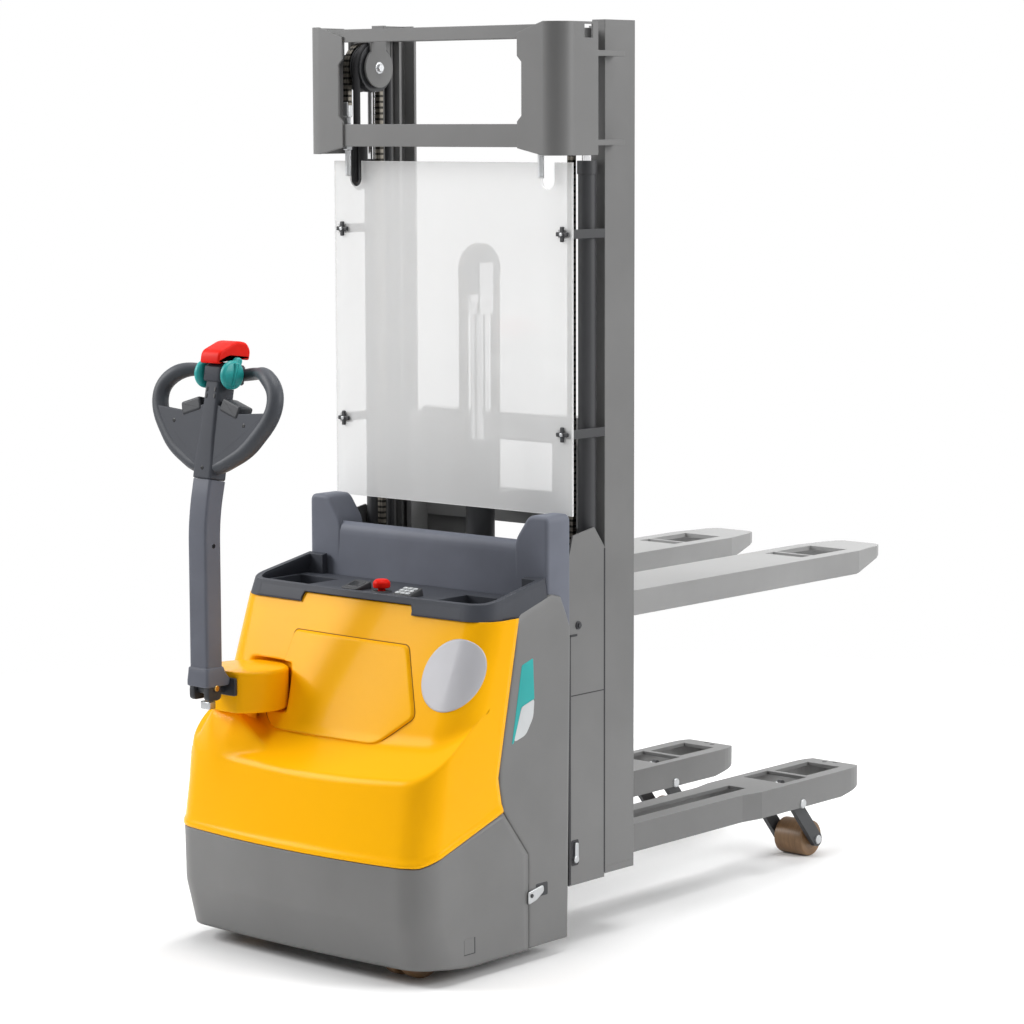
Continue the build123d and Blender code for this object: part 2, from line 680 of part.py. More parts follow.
# Cover panels
seam_top = SEAM_LINE[-1]
behind_seam = plate_x(
    [(SEAM_LINE[0][0], 0)] + SEAM_LINE + [(seam_top[0], CONSOLE_TOP), (0, CONSOLE_TOP), (0, 0)],
    span(HALF_WIDTH + CUT),
)
turret_pocket = shaft_z(
    STEER_X,
    TURRET_Y,
    (TURRET_Z[0] - POCKET_GAP, TURRET_Z[1] + POCKET_GAP),
    TURRET_RADIUS + POCKET_GAP,
)


cover_sections = [APRON_FOOT, APRON_BREAK, HOOD_FOOT]
cover_sections += soften(HOOD_FOOT, CREASE, SHELF, CREASE_SOFT) + soften(CREASE, SHELF, TAB_EDGE, SHELF_SOFT)
cover_sections += [TAB_EDGE]
cover_body = cover(cover_sections, 0)
cover_inside = cover(cover_sections, -SKIN)
seam_knee = SEAM_LINE[1]
hood_joint = [(CLEVIS_Y[0], APRON_TOP), (APRON_RISE_Y, APRON_TOP), seam_knee, (0, seam_knee[1])]
below_hood = plate_x([(CLEVIS_Y[0], 0)] + hood_joint + [(0, 0)], span(HALF_WIDTH + CUT))


def pedestal(inset):
    """Cone under the steering head, level with the crease at the front, taken in by the given wall."""
    rise = PEDESTAL_Z[1] - PEDESTAL_Z[0] - inset
    cone = Cone(PEDESTAL_BOTTOM_RADIUS - inset, PEDESTAL_TOP_RADIUS - inset, rise, align=LOW_CENTRE)
    plan = outline(PEDESTAL_Z[0], HALF_WIDTH - inset, CREASE[1] + inset, CREASE[2], CREASE[3] - inset)
    return (Pos(STEER_X, TURRET_Y, PEDESTAL_Z[0]) * cone) & extrude(plan, amount=rise, dir=(0, 0, 1))


def make_apron():
    shell = (cover_body - cover_inside) & below_hood
    recess = block((HALF_WIDTH - RECESS_DEPTH, HALF_WIDTH + CUT), RECESS_Y, RECESS_Z)
    return shell - behind_seam - recess - mirrored(recess)


def make_hood():
    shell = cover_body - cover_inside - below_hood
    pocket_skin = shaft_z(
        STEER_X,
        TURRET_Y,
        (TURRET_Z[0] - POCKET_GAP - POCKET_WALL, TURRET_Z[1] + POCKET_GAP + POCKET_WALL),
        TURRET_RADIUS + POCKET_GAP + POCKET_WALL,
    )
    shell = shell + (pocket_skin & cover_body) + (pedestal(0) - cover_inside)
    shell = shell - turret_pocket - pedestal(SKIN)
    shell = shell - shaft_z(STEER_X, TURRET_Y, PEDESTAL_Z, SHAFT_CLEAR)
    shell = shell - shaft_z(STEER_X, TURRET_Y, (PEDESTAL_Z[1], TURRET_Z[0] - POCKET_GAP), SHAFT_CLEAR)
    above_edge = block((TAB_HALF, HALF_WIDTH + CUT), (TILT_Y, 0), (HOOD_EDGE_Z, CONSOLE_TOP))
    shell = shell - above_edge - mirrored(above_edge)
    return shell - behind_seam


def make_hatch():
    raised = cover(cover_sections, HATCH_HEIGHT) - cover_body
    return (raised & plate_y(HATCH_OUTLINE, (TILT_Y, COVER_REAR))) - turret_pocket - pedestal(0)


def make_side_panel():
    seam = [(y + SEAM, z) for y, z in SEAM_LINE]
    points = [(SEAM_LINE[0][0] + SEAM, PANEL_BOTTOM)] + seam + PANEL_REAR
    return plate_x(points, (HALF_WIDTH - SKIN, HALF_WIDTH))


def make_latches():
    return both(block((HALF_WIDTH, HALF_WIDTH + LATCH_DEPTH), LATCH_Y, LATCH_Z))


# Console
def console_part(inset):
    """Solid body of the console, taken in by the given amount."""
    faces = []
    for z, half, front, bow, corner in CONSOLE_SECTIONS:
        faces.append(outline(z, half - inset, front + inset, bow, corner - inset))
    behind = block(span(HALF_WIDTH), (CONSOLE_REAR - inset, 0), (HOOD_EDGE_Z - CUT, CONSOLE_TOP + CUT))
    return loft(faces, ruled=True) - behind


def make_console():
    above_rim = [(CLEVIS_Y[0], CONSOLE_FRONT_TOP), (CONSOLE_RISE_Y, CONSOLE_FRONT_TOP)]
    above_rim += [(CONSOLE_REAR, CONSOLE_TOP), (CLEVIS_Y[0], CONSOLE_TOP)]
    body = console_part(0) - plate_x(above_rim, span(HALF_WIDTH))
    open_x = span(HALF_WIDTH - CONSOLE_OPEN_INSET)
    body -= block(open_x, (CONSOLE_REAR - CONSOLE_RIM - CUT, 0), (CONSOLE_FLOOR_Z, CONSOLE_TOP))
    body -= console_part(CONSOLE_RIM) & block(span(HALF_WIDTH), (TILT_Y, 0), (CONSOLE_FLOOR_Z, CONSOLE_TOP))
    body -= console_part(SKIN) & block(span(HALF_WIDTH), (TILT_Y, 0), (HOOD_EDGE_Z, CONSOLE_HOLLOW_Z))
    tub = block(BIN_X, BIN_Y, (BIN_FLOOR_Z, CONSOLE_FLOOR_Z))
    bin_x = (BIN_X[0] + BIN_WALL, BIN_X[1] - BIN_WALL)
    bin_y = (BIN_Y[0] + BIN_WALL, BIN_Y[1] - BIN_WALL)
    body = body + tub - block(bin_x, bin_y, (BIN_FLOOR_Z + BIN_WALL, CONSOLE_TOP))
    tray_skin = block(TRAY_X, TRAY_Y, (TRAY_FLOOR_Z - SKIN, CONSOLE_FLOOR_Z))
    tray_x = (TRAY_X[0] + BIN_WALL, TRAY_X[1] - BIN_WALL)
    tray_y = (TRAY_Y[0] + BIN_WALL, TRAY_Y[1] - BIN_WALL)
    body = body + tray_skin - block(tray_x, tray_y, (TRAY_FLOOR_Z, CONSOLE_TOP))
    notch_y = (TILT_Y, TAB_EDGE[1] + 2 * SKIN + SEAM)
    body -= block(span(TAB_HALF + SEAM), notch_y, (HOOD_EDGE_Z, TAB_TOP_Z + SEAM))
    return body - shaft_z(*ESTOP_XY, (HOOD_EDGE_Z, CONSOLE_TOP), ESTOP_STEM_RADIUS + BORE_GAP)


def make_console_panels():
    heights = (CONSOLE_FLOOR_Z, CONSOLE_FLOOR_Z + PLATE_HEIGHT)
    return [block(DISPLAY_X, DISPLAY_Y, heights), block(KEYS_X, KEYS_Y, heights)]


def make_estop():
    cap = shaft_z(*ESTOP_XY, ESTOP_CAP_Z, ESTOP_RADIUS)
    cap = fillet(cap.edges().group_by(Axis.Z)[-1], ESTOP_ROUND)
    return cap + shaft_z(*ESTOP_XY, (ESTOP_STEM_BOTTOM, ESTOP_CAP_Z[0]), ESTOP_STEM_RADIUS)


# Chassis and the units on it
def make_chassis():
    deck = cover_inside & block(span(HALF_WIDTH), (DECK_FRONT, WALL_Y[0]), DECK_Z)
    ring = shaft_z(STEER_X, DRIVE_Y, (DECK_Z[0], RING_TOP), RING_RADIUS)
    boss = shaft_z(CASTOR_X, CASTOR_Y, (DECK_Z[0], KINGPIN_TOP), KINGPIN_BOSS_RADIUS)
    wall = block(span(WALL_HALF), WALL_Y, WALL_Z)
    post = block((WALL_HALF, HALF_WIDTH - SKIN), (POST_FRONT, WALL_Y[1]), (WALL_Z[0], POST_TOP))
    guide = block(GUIDE_X, (WALL_Y[1], GUIDE_REAR), GUIDE_Z)
    foot_z = (BARREL_Z[0] - BARREL_FOOT_PLATE, BARREL_Z[0])
    foot = block(span(BARREL_FOOT_HALF), (WALL_Y[1], LIFT_Y + BARREL_RADIUS), foot_z)
    bridge = block((STEER_X - BRIDGE_HALF, STEER_X + BRIDGE_HALF), (BRIDGE_FRONT, WALL_Y[0]), BRIDGE_Z)
    frame = deck + ring + boss + wall + post + mirrored(post) + guide + mirrored(guide) + foot + bridge
    frame -= shaft_z(STEER_X, DRIVE_Y, (DECK_Z[0] - CUT, RING_TOP + CUT), FLANGE_RADIUS + BORE_GAP)
    frame -= shaft_z(CASTOR_X, CASTOR_Y, (DECK_Z[0] - CUT, KINGPIN_TOP + CUT), KINGPIN_RADIUS + BORE_GAP)
    return frame - shaft_z(STEER_X, TURRET_Y, (BRIDGE_Z[0] - CUT, BRIDGE_Z[1] + CUT), SHAFT_RADIUS + BORE_GAP)


def make_hydraulic_unit():
    tank = block(TANK_X, TANK_Y, (DECK_Z[1], TANK_TOP))
    pump = shaft_x(PUMP_X, PUMP_Y, TANK_TOP + PUMP_RADIUS, PUMP_RADIUS)
    return [tank, pump]


def make_controller():
    return block(CONTROLLER_X, (WALL_Y[0] - CONTROLLER_DEPTH, WALL_Y[0]), CONTROLLER_Z)


def make_lift_barrel():
    barrel = shaft_z(0, LIFT_Y, BARREL_Z, BARREL_RADIUS)
    bore_z = (BARREL_Z[0] + BARREL_FOOT_PLATE, BARREL_Z[1] + CUT)
    return barrel - shaft_z(0, LIFT_Y, bore_z, LIFT_ROD_RADIUS + BORE_GAP)


def make_steering_chain():
    z = SPROCKET_Z[0] + CHAIN_LINK_INSET
    depth = SPROCKET_Z[1] - SPROCKET_Z[0] - 2 * CHAIN_LINK_INSET
    inner = SPROCKET_RADIUS + FACE_GAP
    middle = Plane(origin=(STEER_X, (TURRET_Y + DRIVE_Y) / 2, z), x_dir=(0, 1, 0), z_dir=(0, 0, 1))
    run = DRIVE_Y - TURRET_Y
    outside = SlotCenterToCenter(run, 2 * (inner + CHAIN_LINK_THICK))
    return extrude(middle * (outside - SlotCenterToCenter(run, 2 * inner)), amount=depth)


# Steering head and drive unit
def make_steering_head():
    turret = shaft_z(STEER_X, TURRET_Y, TURRET_Z, TURRET_RADIUS)
    turret = fillet(turret.edges().group_by(Axis.Z)[0], TURRET_ROUND)
    reach = (STEER_X - TURRET_RADIUS, STEER_X + TURRET_RADIUS)
    ahead = (TURRET_Y - TURRET_RADIUS - CUT, TURRET_FLAT)
    turret -= block(reach, ahead, (TURRET_Z[0] - CUT, TURRET_Z[1] + CUT))
    shaft = shaft_z(STEER_X, TURRET_Y, (SPROCKET_Z[0], TURRET_Z[0] + CUT), SHAFT_RADIUS)
    return turret + shaft + shaft_z(STEER_X, TURRET_Y, SPROCKET_Z, SPROCKET_RADIUS)


def make_tiller_bracket():
    plate_x_range = (STEER_X - BRACKET_HALF, STEER_X + BRACKET_HALF)
    plate = block(plate_x_range, (TURRET_FLAT - BRACKET_PLATE, TURRET_FLAT), BRACKET_Z)
    lug_x = (STEER_X - LUG_HALF, STEER_X + LUG_HALF)
    lug = block(lug_x, (TILT_Y, TURRET_FLAT), (TILT_Z - LUG_RADIUS, TILT_Z + LUG_RADIUS))
    nose = shaft_x(lug_x, TILT_Y, TILT_Z, LUG_RADIUS)
    pin = shaft_x((STEER_X - CLEVIS_HALF, STEER_X + CLEVIS_HALF), TILT_Y, TILT_Z, TILT_PIN_RADIUS)
    return plate + lug + nose + pin


def make_drive_motor():
    motor = shaft_z(STEER_X, DRIVE_Y, (RING_TOP, MOTOR_TOP), MOTOR_RADIUS)
    spindle = shaft_z(STEER_X, DRIVE_Y, (MOTOR_TOP, SPROCKET_Z[0]), SHAFT_RADIUS)
    return motor + spindle + shaft_z(STEER_X, DRIVE_Y, SPROCKET_Z, SPROCKET_RADIUS)


def make_gearbox():
    flange = shaft_z(STEER_X, DRIVE_Y, (FLANGE_BOTTOM, RING_TOP), FLANGE_RADIUS)
    case_x = (STEER_X + GEARBOX_X[0], STEER_X + GEARBOX_X[1])
    case = block(case_x, GEARBOX_Y, (GEARBOX_BOTTOM, FLANGE_BOTTOM))
    axle = shaft_x((STEER_X - DRIVE_HALF, case_x[0]), DRIVE_Y, DRIVE_RADIUS, DRIVE_AXLE_RADIUS)
    return flange + case + axle


def make_drive_wheel():
    x = (STEER_X - DRIVE_HALF, STEER_X + DRIVE_HALF)
    bore = DRIVE_AXLE_RADIUS + BORE_GAP
    return wheel(x, DRIVE_Y, DRIVE_RADIUS, DRIVE_RADIUS, DRIVE_HUB_RADIUS, bore, DRIVE_ROUND)


# Castor
def make_castor_fork():
    kingpin = shaft_z(CASTOR_X, CASTOR_Y, (CROWN_Z[1], KINGPIN_TOP), KINGPIN_RADIUS)
    crown = shaft_z(CASTOR_X, CASTOR_Y, CROWN_Z, CROWN_RADIUS)
    leg_x = (CASTOR_X - CASTOR_LEG_HALF, CASTOR_X + CASTOR_LEG_HALF)
    leg = block(leg_x, CASTOR_LEG_Y, (CASTOR_LEG_BOTTOM, CROWN_Z[0]))
    axle_x = (CASTOR_X - CASTOR_WHEEL_X[1], CASTOR_X + CASTOR_WHEEL_X[1])
    return kingpin + crown + leg + shaft_x(axle_x, CASTOR_AXLE_Y, CASTOR_RADIUS, CASTOR_AXLE_RADIUS)


def make_castor_wheels():
    solids = []
    bore = CASTOR_AXLE_RADIUS + BORE_GAP
    for low, high in (CASTOR_WHEEL_X, flipped(CASTOR_WHEEL_X)):
        x = (CASTOR_X + low, CASTOR_X + high)
        radii = (CASTOR_RADIUS, CASTOR_CORE_RADIUS, bore)
        solids += wheel(x, CASTOR_AXLE_Y, CASTOR_RADIUS, *radii, CASTOR_ROUND)
    return solids


# Tiller: the head is drawn upright about its own origin and then leant back
column_lean = (COLUMN_TOP - COLUMN_BEND_Z) * tan(radians(-HEAD_TILT))
head_y = (COLUMN_Y[0] + COLUMN_Y[1]) / 2 + column_lean
head_place = Pos(STEER_X, head_y, COLUMN_TOP) * Rot(HEAD_TILT, 0, 0)


def make_column():
    front, back = COLUMN_Y
    side = [(front, CLEVIS_Z[1]), (front, COLUMN_BEND_Z), (front + column_lean, COLUMN_TOP)]
    side += [(back + column_lean, COLUMN_TOP), (back, COLUMN_BEND_Z), (back, CLEVIS_Z[1])]
    column = plate_x(side, span(COLUMN_HALF))
    rise = COLUMN_TOP - COLUMN_BEND_Z
    long_edges = [edge for edge in column.edges() if edge.bounding_box().size.Z > rise - CUT]
    column = chamfer(long_edges, COLUMN_CHAMFER)
    base = block(span(CLEVIS_HALF), CLEVIS_Y, CLEVIS_Z)
    base = chamfer(base.faces().sort_by(Axis.Z)[-1].edges().filter_by(Axis.Y), CLEVIS_ROUND)
    slot_y = (CLEVIS_Y[0] - CUT, CLEVIS_Y[1] + CUT)
    slot = block(span(LUG_HALF + FACE_GAP), slot_y, (CLEVIS_Z[0] - CUT, CLEVIS_SLOT_TOP))
    base = base - slot - shaft_x(span(CLEVIS_HALF + CUT), TILT_Y, TILT_Z, TILT_PIN_RADIUS + BORE_GAP)
    collar = block(span(COLUMN_HALF), (COLUMN_Y[0], CLEVIS_Y[1]), (CLEVIS_SLOT_TOP, CLEVIS_Z[1] + CUT))
    return Pos(STEER_X, 0, 0) * (column + base + collar)


def head_solid():
    """Spine, hub, web and grip arms of the tiller head about its own origin."""
    half_spine = [(0, -NECK_DROP), (NECK_HALF, -NECK_DROP), (SPINE_HALF, SPINE_TOP), (0, SPINE_TOP)]
    side = plate_y(half_spine, SPINE_DEPTH) + plate_y(WEB_OUTLINE, WEB_DEPTH)
    side += block(GRIP_ARM_X, GRIP_ARM_Y, GRIP_ARM_W)
    side += block(GRIP_KNUCKLE_X, (GRIP_Y, GRIP_ARM_Y[1]), GRIP_ARM_W)
    hub = block(span(HEAD_HUB_HALF), HEAD_HUB_DEPTH, (SPINE_TOP, HEAD_HUB_TOP))
    return side + mirrored(side) + hub


def above_column(shape):
    """A piece of the head in its place, cut level with the top of the column."""
    reach = (STEER_X - HALF_WIDTH, STEER_X + HALF_WIDTH)
    below = block(reach, (TILT_Y - HALF_WIDTH, TILT_Y + HALF_WIDTH), (CLEVIS_Z[0], COLUMN_TOP))
    return head_place * shape - below


def rocker_place():
    """Place of the right rocker on the sloping shoulder of the web."""
    return Pos(ROCKER_X[0], 0, ROCKER_ORIGIN_W) * Rot(0, ROCKER_SLOPE, 0)


rocker_width = ROCKER_X[1] - ROCKER_X[0]
rocker_middle = rocker_width / 2


def make_head():
    room_x = (-ROCKER_LIFT, rocker_width + ROCKER_LIFT)
    room = block(room_x, span(CLEVIS_HALF), (-ROCKER_LIFT, ROCKER_HEIGHT + ROCKER_LIFT))
    post_x = (rocker_middle - ROCKER_POST[0], rocker_middle + ROCKER_POST[0])
    post = block(post_x, span(ROCKER_POST[1]), (-ROCKER_LIFT, ROCKER_PIN_W))
    post += shaft_y(rocker_middle, span(ROCKER_PIN_HALF), ROCKER_PIN_W, ROCKER_PIN_RADIUS)
    room = rocker_place() * room
    post = rocker_place() * post
    body = head_solid() - room - mirrored(room) + post + mirrored(post)
    body -= shaft_x(span(HEAD_HUB_HALF + CUT), SWITCH_SHAFT_Y, SWITCH_SHAFT_W, SWITCH_SHAFT_RADIUS + BORE_GAP)
    well = (BELLY_STEM[0] + FACE_GAP, BELLY_STEM[1] + FACE_GAP)
    body -= block(span(well[0]), span(well[1]), (BELLY_WELL_BOTTOM, HEAD_HUB_TOP + CUT))
    return above_column(body)


def make_grips():
    path = FilletPolyline(*[(x, GRIP_Y, w) for x, w in GRIP_PATH], radius=GRIP_BEND)
    ring = Plane(origin=path @ 0, z_dir=path % 0) * Circle(GRIP_RADIUS)
    tube = sweep(ring, path=path) - head_solid()
    tube = max(tube.solids(), key=lambda piece: piece.volume)
    return [above_column(piece) for piece in both(tube)]


def make_belly_button():
    cap = plate_x(BELLY_PROFILE, span(BELLY_HALF))
    skirt = block(span(BELLY_HALF - SKIN), span(BELLY_SKIRT_DEPTH), (HEAD_HUB_TOP, BELLY_SKIRT_TOP))
    stem = block(span(BELLY_STEM[0]), span(BELLY_STEM[1]), (BELLY_STEM_BOTTOM, BELLY_SKIRT_TOP))
    return head_place * (cap - skirt + stem)


def make_travel_switch():
    shaft = shaft_x(span(SWITCH_WING_X[1]), SWITCH_SHAFT_Y, SWITCH_SHAFT_W, SWITCH_SHAFT_RADIUS)
    disc = shaft_x(SWITCH_WING_X, SWITCH_SHAFT_Y, SWITCH_SHAFT_W, SWITCH_WING_RADIUS)
    wing = disc + plate_x([(SWITCH_SHAFT_Y + y, SWITCH_SHAFT_W + w) for y, w in SWITCH_PADDLE], SWITCH_WING_X)
    return head_place * (shaft + wing + mirrored(wing))


def make_rocker():
    body = block((0, rocker_width), ROCKER_DEPTH, (0, ROCKER_HEIGHT))
    body = chamfer(body.edges().filter_by(Axis.X).group_by(Axis.Z)[-1], SKIN)
    room = ROCKER_POST[0] + ROCKER_POST_ROOM
    slot_z = (-CUT, ROCKER_PIN_W + ROCKER_PIN_RADIUS + ROCKER_POST_ROOM)
    body -= block((rocker_middle - room, rocker_middle + room), span(ROCKER_POST[1] + FACE_GAP), slot_z)
    bore = ROCKER_PIN_RADIUS + BORE_GAP
    body -= shaft_y(rocker_middle, span(ROCKER_PIN_HALF + FACE_GAP), ROCKER_PIN_W, bore)
    return rocker_place() * body


# Mast
def channel(outer, tip, web, flange, y, z):
    """Right-hand rail with a C section that opens towards the centre."""
    rail = block((tip, outer), y, z)
    return rail - block((tip - CUT, outer - web), (y[0] + flange, y[1] - flange), (z[0] - CUT, z[1] + CUT))


def pads(x, y, z, outward):
    """Guide pads on both sides of a rail's depth, that leave a sliding gap."""
    thick = (STAGE_GAP - FACE_GAP) * outward
    front = sorted((y[0], y[0] - thick))
    rear = sorted((y[1], y[1] + thick))
    return block(x, front, z) + block(x, rear, z)


outer_y = (-MAST_DEPTH, 0.0)
outer_pocket = (outer_y[0] + OUTER_FLANGE, outer_y[1] - OUTER_FLANGE)
middle_y = (outer_pocket[0] + STAGE_GAP, outer_pocket[1] - STAGE_GAP)
middle_pocket = (middle_y[0] + MIDDLE_FLANGE, middle_y[1] - MIDDLE_FLANGE)
inner_y = (middle_pocket[0] + STAGE_GAP, middle_pocket[1] - STAGE_GAP)
outer_pad_x = (OUTER_TIP + PAD_INSET, MIDDLE_HALF - PAD_INSET)
inner_pad_x = (MIDDLE_TIP + PAD_INSET, INNER_HALF - PAD_INSET)


def make_outer_rail():
    rail = channel(MAST_HALF, OUTER_TIP, OUTER_WEB, OUTER_FLANGE, outer_y, (FOOT_Z[1], MAST_TOP))
    rail += pads(outer_pad_x, outer_pocket, (MIDDLE_Z[1] - PAD_LENGTH, MIDDLE_Z[1]), -1)
    for z in SCREEN_BOLT_Z:
        tab_z = (z - SCREEN_TAB_HALF, z + SCREEN_TAB_HALF)
        rail += block((MAST_HALF - SCREEN_TAB_PLATE, MAST_HALF), (SCREEN_Y[1], outer_y[0]), tab_z)
        rail += block((OUTER_TIP, MAST_HALF), (SCREEN_Y[1], SCREEN_Y[1] + SCREEN_TAB_PLATE), tab_z)
    return rail


def make_middle_mast():
    rail = channel(MIDDLE_HALF, MIDDLE_TIP, MIDDLE_WEB, MIDDLE_FLANGE, middle_y, MIDDLE_Z)
    rail += pads(outer_pad_x, middle_y, (MIDDLE_Z[0], MIDDLE_Z[0] + PAD_LENGTH), 1)
    rail += pads(inner_pad_x, middle_pocket, (INNER_Z[1] - PAD_LENGTH, INNER_Z[1]), -1)
    low_bar = block(span(MIDDLE_BAR_HALF), (middle_y[0] - MIDDLE_BAR_THICK, middle_y[0]), MIDDLE_BAR_Z)
    arm = plate_x(HEAD_ARM, HEAD_ARM_X) + block(ROD_LUG_X, ROD_LUG_Y, ROD_LUG_Z)
    disc = shaft_x(HEAD_DISC_X, SHEAVE_Y, SHEAVE_Z, HEAD_DISC_RADIUS)
    disc += block(HEAD_DISC_X, HEAD_HANGER_Y, (SHEAVE_Z, HEAD_BAR_Z[1]))
    side = arm + disc + shaft_x((HEAD_DISC_X[1], HEAD_ARM_X[0]), SHEAVE_Y, SHEAVE_Z, SHEAVE_AXLE_RADIUS)
    head = side + mirrored(side) + block(span(HEAD_ARM_X[1]), HEAD_BAR_Y, HEAD_BAR_Z)
    return both(rail) + [low_bar, head]


def make_inner_mast():
    rail = channel(INNER_HALF, INNER_TIP, INNER_WEB, INNER_FLANGE, inner_y, INNER_Z)
    rail += pads(inner_pad_x, inner_y, (INNER_Z[0], INNER_Z[0] + PAD_LENGTH), 1)
    bar_y = (inner_y[0] - INNER_BAR_THICK, inner_y[0])
    low_bar = block(span(INNER_BAR_HALF), bar_y, INNER_BAR_LOW_Z)
    low_bar += block(span(FREE_FOOT_HALF), (FREE_FOOT_FRONT, bar_y[0]), FREE_FOOT_Z)
    bracket_z = (CHAIN_BRACKET_BOTTOM, LIFT_CHAIN_BOTTOM)
    bracket = block(CHAIN_BRACKET_X, (CHAIN_BRACKET_FRONT, inner_y[0]), bracket_z)
    low_bar = low_bar + bracket + mirrored(bracket)
    plate_z_range = (LIFT_CHAIN_BOTTOM - HOSE_PLATE_THICK, LIFT_CHAIN_BOTTOM)
    low_bar += block(HOSE_PLATE_X, (CHAIN_BRACKET_FRONT, HOSE_PLATE_REAR), plate_z_range)
    return both(rail) + [low_bar, block(span(INNER_BAR_HALF), bar_y, INNER_BAR_HIGH_Z)]


def make_chain_sheaves():
    bore = SHEAVE_AXLE_RADIUS + BORE_GAP

    def pulley(x, root):
        body = shaft_x(x, SHEAVE_Y, SHEAVE_Z, root)
        body += shaft_x((x[0], x[0] + SHEAVE_FLANGE_THICK), SHEAVE_Y, SHEAVE_Z, SHEAVE_FLANGE)
        body += shaft_x((x[1] - SHEAVE_FLANGE_THICK, x[1]), SHEAVE_Y, SHEAVE_Z, SHEAVE_FLANGE)
        return body - shaft_x(x, SHEAVE_Y, SHEAVE_Z, bore)

    return both(pulley(SHEAVE_X, SHEAVE_ROOT)) + [pulley(flipped(HOSE_PULLEY_X), HOSE_ROOT)]


def make_lift_chains():
    x = (ANCHOR_X - LIFT_CHAIN_HALF, ANCHOR_X + LIFT_CHAIN_HALF)
    return both(hanging_chain(x, SHEAVE_Y, SHEAVE_Z, LIFT_CHAIN_INNER, STUD_Z[1], LIFT_CHAIN_BOTTOM))


def make_hoses():
    bend = Pos(HOSE_X, SHEAVE_Y, SHEAVE_Z) * Rot(0, 90, 0) * Torus(HOSE_PITCH, HOSE_RADIUS)
    reach = HOSE_PITCH + HOSE_RADIUS
    room_x = (HOSE_X - HOSE_RADIUS, HOSE_X + HOSE_RADIUS)
    room = block(room_x, (SHEAVE_Y - reach, SHEAVE_Y + reach), (SHEAVE_Z, SHEAVE_Z + reach))
    front = shaft_z(HOSE_X, SHEAVE_Y - HOSE_PITCH, (ANCHOR_LUG_Z[1], SHEAVE_Z), HOSE_RADIUS)
    rear = shaft_z(HOSE_X, SHEAVE_Y + HOSE_PITCH, (LIFT_CHAIN_BOTTOM, SHEAVE_Z), HOSE_RADIUS)
    return (bend & room) + front + rear


def make_free_lift_cylinder():
    tube = shaft_z(0, FREE_Y, (FREE_FOOT_Z[1], FREE_TOP), FREE_RADIUS)
    tube += block(span(FREE_SHEAVE_HALF), (ANCHOR_FRONT_Y, FREE_Y), ANCHOR_FRONT_Z)
    bore_z = (FREE_FOOT_Z[1] + FOOT_PLATE, FREE_TOP + CUT)
    return tube - shaft_z(0, FREE_Y, bore_z, FREE_ROD_RADIUS + BORE_GAP)


def make_free_lift_rod():
    rod = shaft_z(0, FREE_Y, FREE_ROD_Z, FREE_ROD_RADIUS)
    depth = (FREE_Y - YOKE_HALF_DEPTH, FREE_Y + YOKE_HALF_DEPTH)
    rod += block(span(YOKE_X[1]), depth, YOKE_BASE_Z)
    cheek = block(YOKE_X, depth, (YOKE_BASE_Z[0], YOKE_TOP))
    return rod + cheek + mirrored(cheek) + shaft_x(span(YOKE_X[1]), FREE_Y, FREE_SHEAVE_Z, FREE_AXLE_RADIUS)


def make_free_lift_sheave():
    groove = FREE_CHAIN_HALF + 2 * FACE_GAP
    body = shaft_x(span(FREE_SHEAVE_HALF), FREE_Y, FREE_SHEAVE_Z, FREE_SHEAVE_ROOT)
    flange = shaft_x((groove, FREE_SHEAVE_HALF), FREE_Y, FREE_SHEAVE_Z, FREE_SHEAVE_FLANGE)
    body = body + flange + mirrored(flange)
    return body - shaft_x(span(FREE_SHEAVE_HALF), FREE_Y, FREE_SHEAVE_Z, FREE_AXLE_RADIUS + BORE_GAP)


def make_free_lift_chain():
    ends = (FREE_CHAIN_FRONT_BOTTOM, FREE_CHAIN_REAR_BOTTOM)
    return hanging_chain(span(FREE_CHAIN_HALF), FREE_Y, FREE_SHEAVE_Z, FREE_CHAIN_INNER, *ends)


def make_carriage():
    plate = block(CARRIAGE_X, CARRIAGE_Y, CARRIAGE_Z)
    rollers = []
    for z in ROLLER_Z:
        plate += shaft_x((CARRIAGE_X[1], ROLLER_X[0]), ROLLER_Y, z, ROLLER_STUB_RADIUS)
        rollers += both(shaft_x(ROLLER_X, ROLLER_Y, z, ROLLER_RADIUS))
    bars = [block(span(CARRIAGE_X[1]), CARRIAGE_BAR_Y, z) for z in CARRIAGE_BARS_Z]
    lug_z = (CHAIN_LUG_BOTTOM, FREE_CHAIN_REAR_BOTTOM)
    lug = block(span(CHAIN_LUG_HALF), (CHAIN_LUG_FRONT, CARRIAGE_BAR_Y[0]), lug_z)
    return both(plate) + bars + [lug] + rollers


def arm_plan(edge):
    """Closed plan outline of an arm or fork from its half widths along Y."""
    return [(ARM_X + half, y) for half, y in edge] + [(ARM_X - half, y) for half, y in reversed(edge)]


def make_fork():
    blade = plate_z(arm_plan([(FORK_HALF, SHANK_Y[0])] + FORK_EDGE), FORK_Z)
    hollow = arm_plan([(FORK_HALF - FORK_WALL, 0)] + FORK_CAVITY_EDGE)
    blade -= plate_z(hollow, (FORK_Z[0] - CUT, FORK_Z[1] - FORK_PLATE))
    under = FORK_UNDER + [(FORK_UNDER[1][0] + CUT, FORK_Z[0] - CUT), (FORK_UNDER[0][0], FORK_Z[0] - CUT)]
    blade -= plate_x(under, FORK_X)
    for pocket_y in FORK_POCKETS_Y:
        blade -= block(FORK_POCKET_X, pocket_y, (FORK_Z[1] - FORK_PLATE - CUT, FORK_Z[1] + CUT))
    return blade + block(FORK_X, SHANK_Y, (SHANK_BOTTOM, SHANK_TOP))


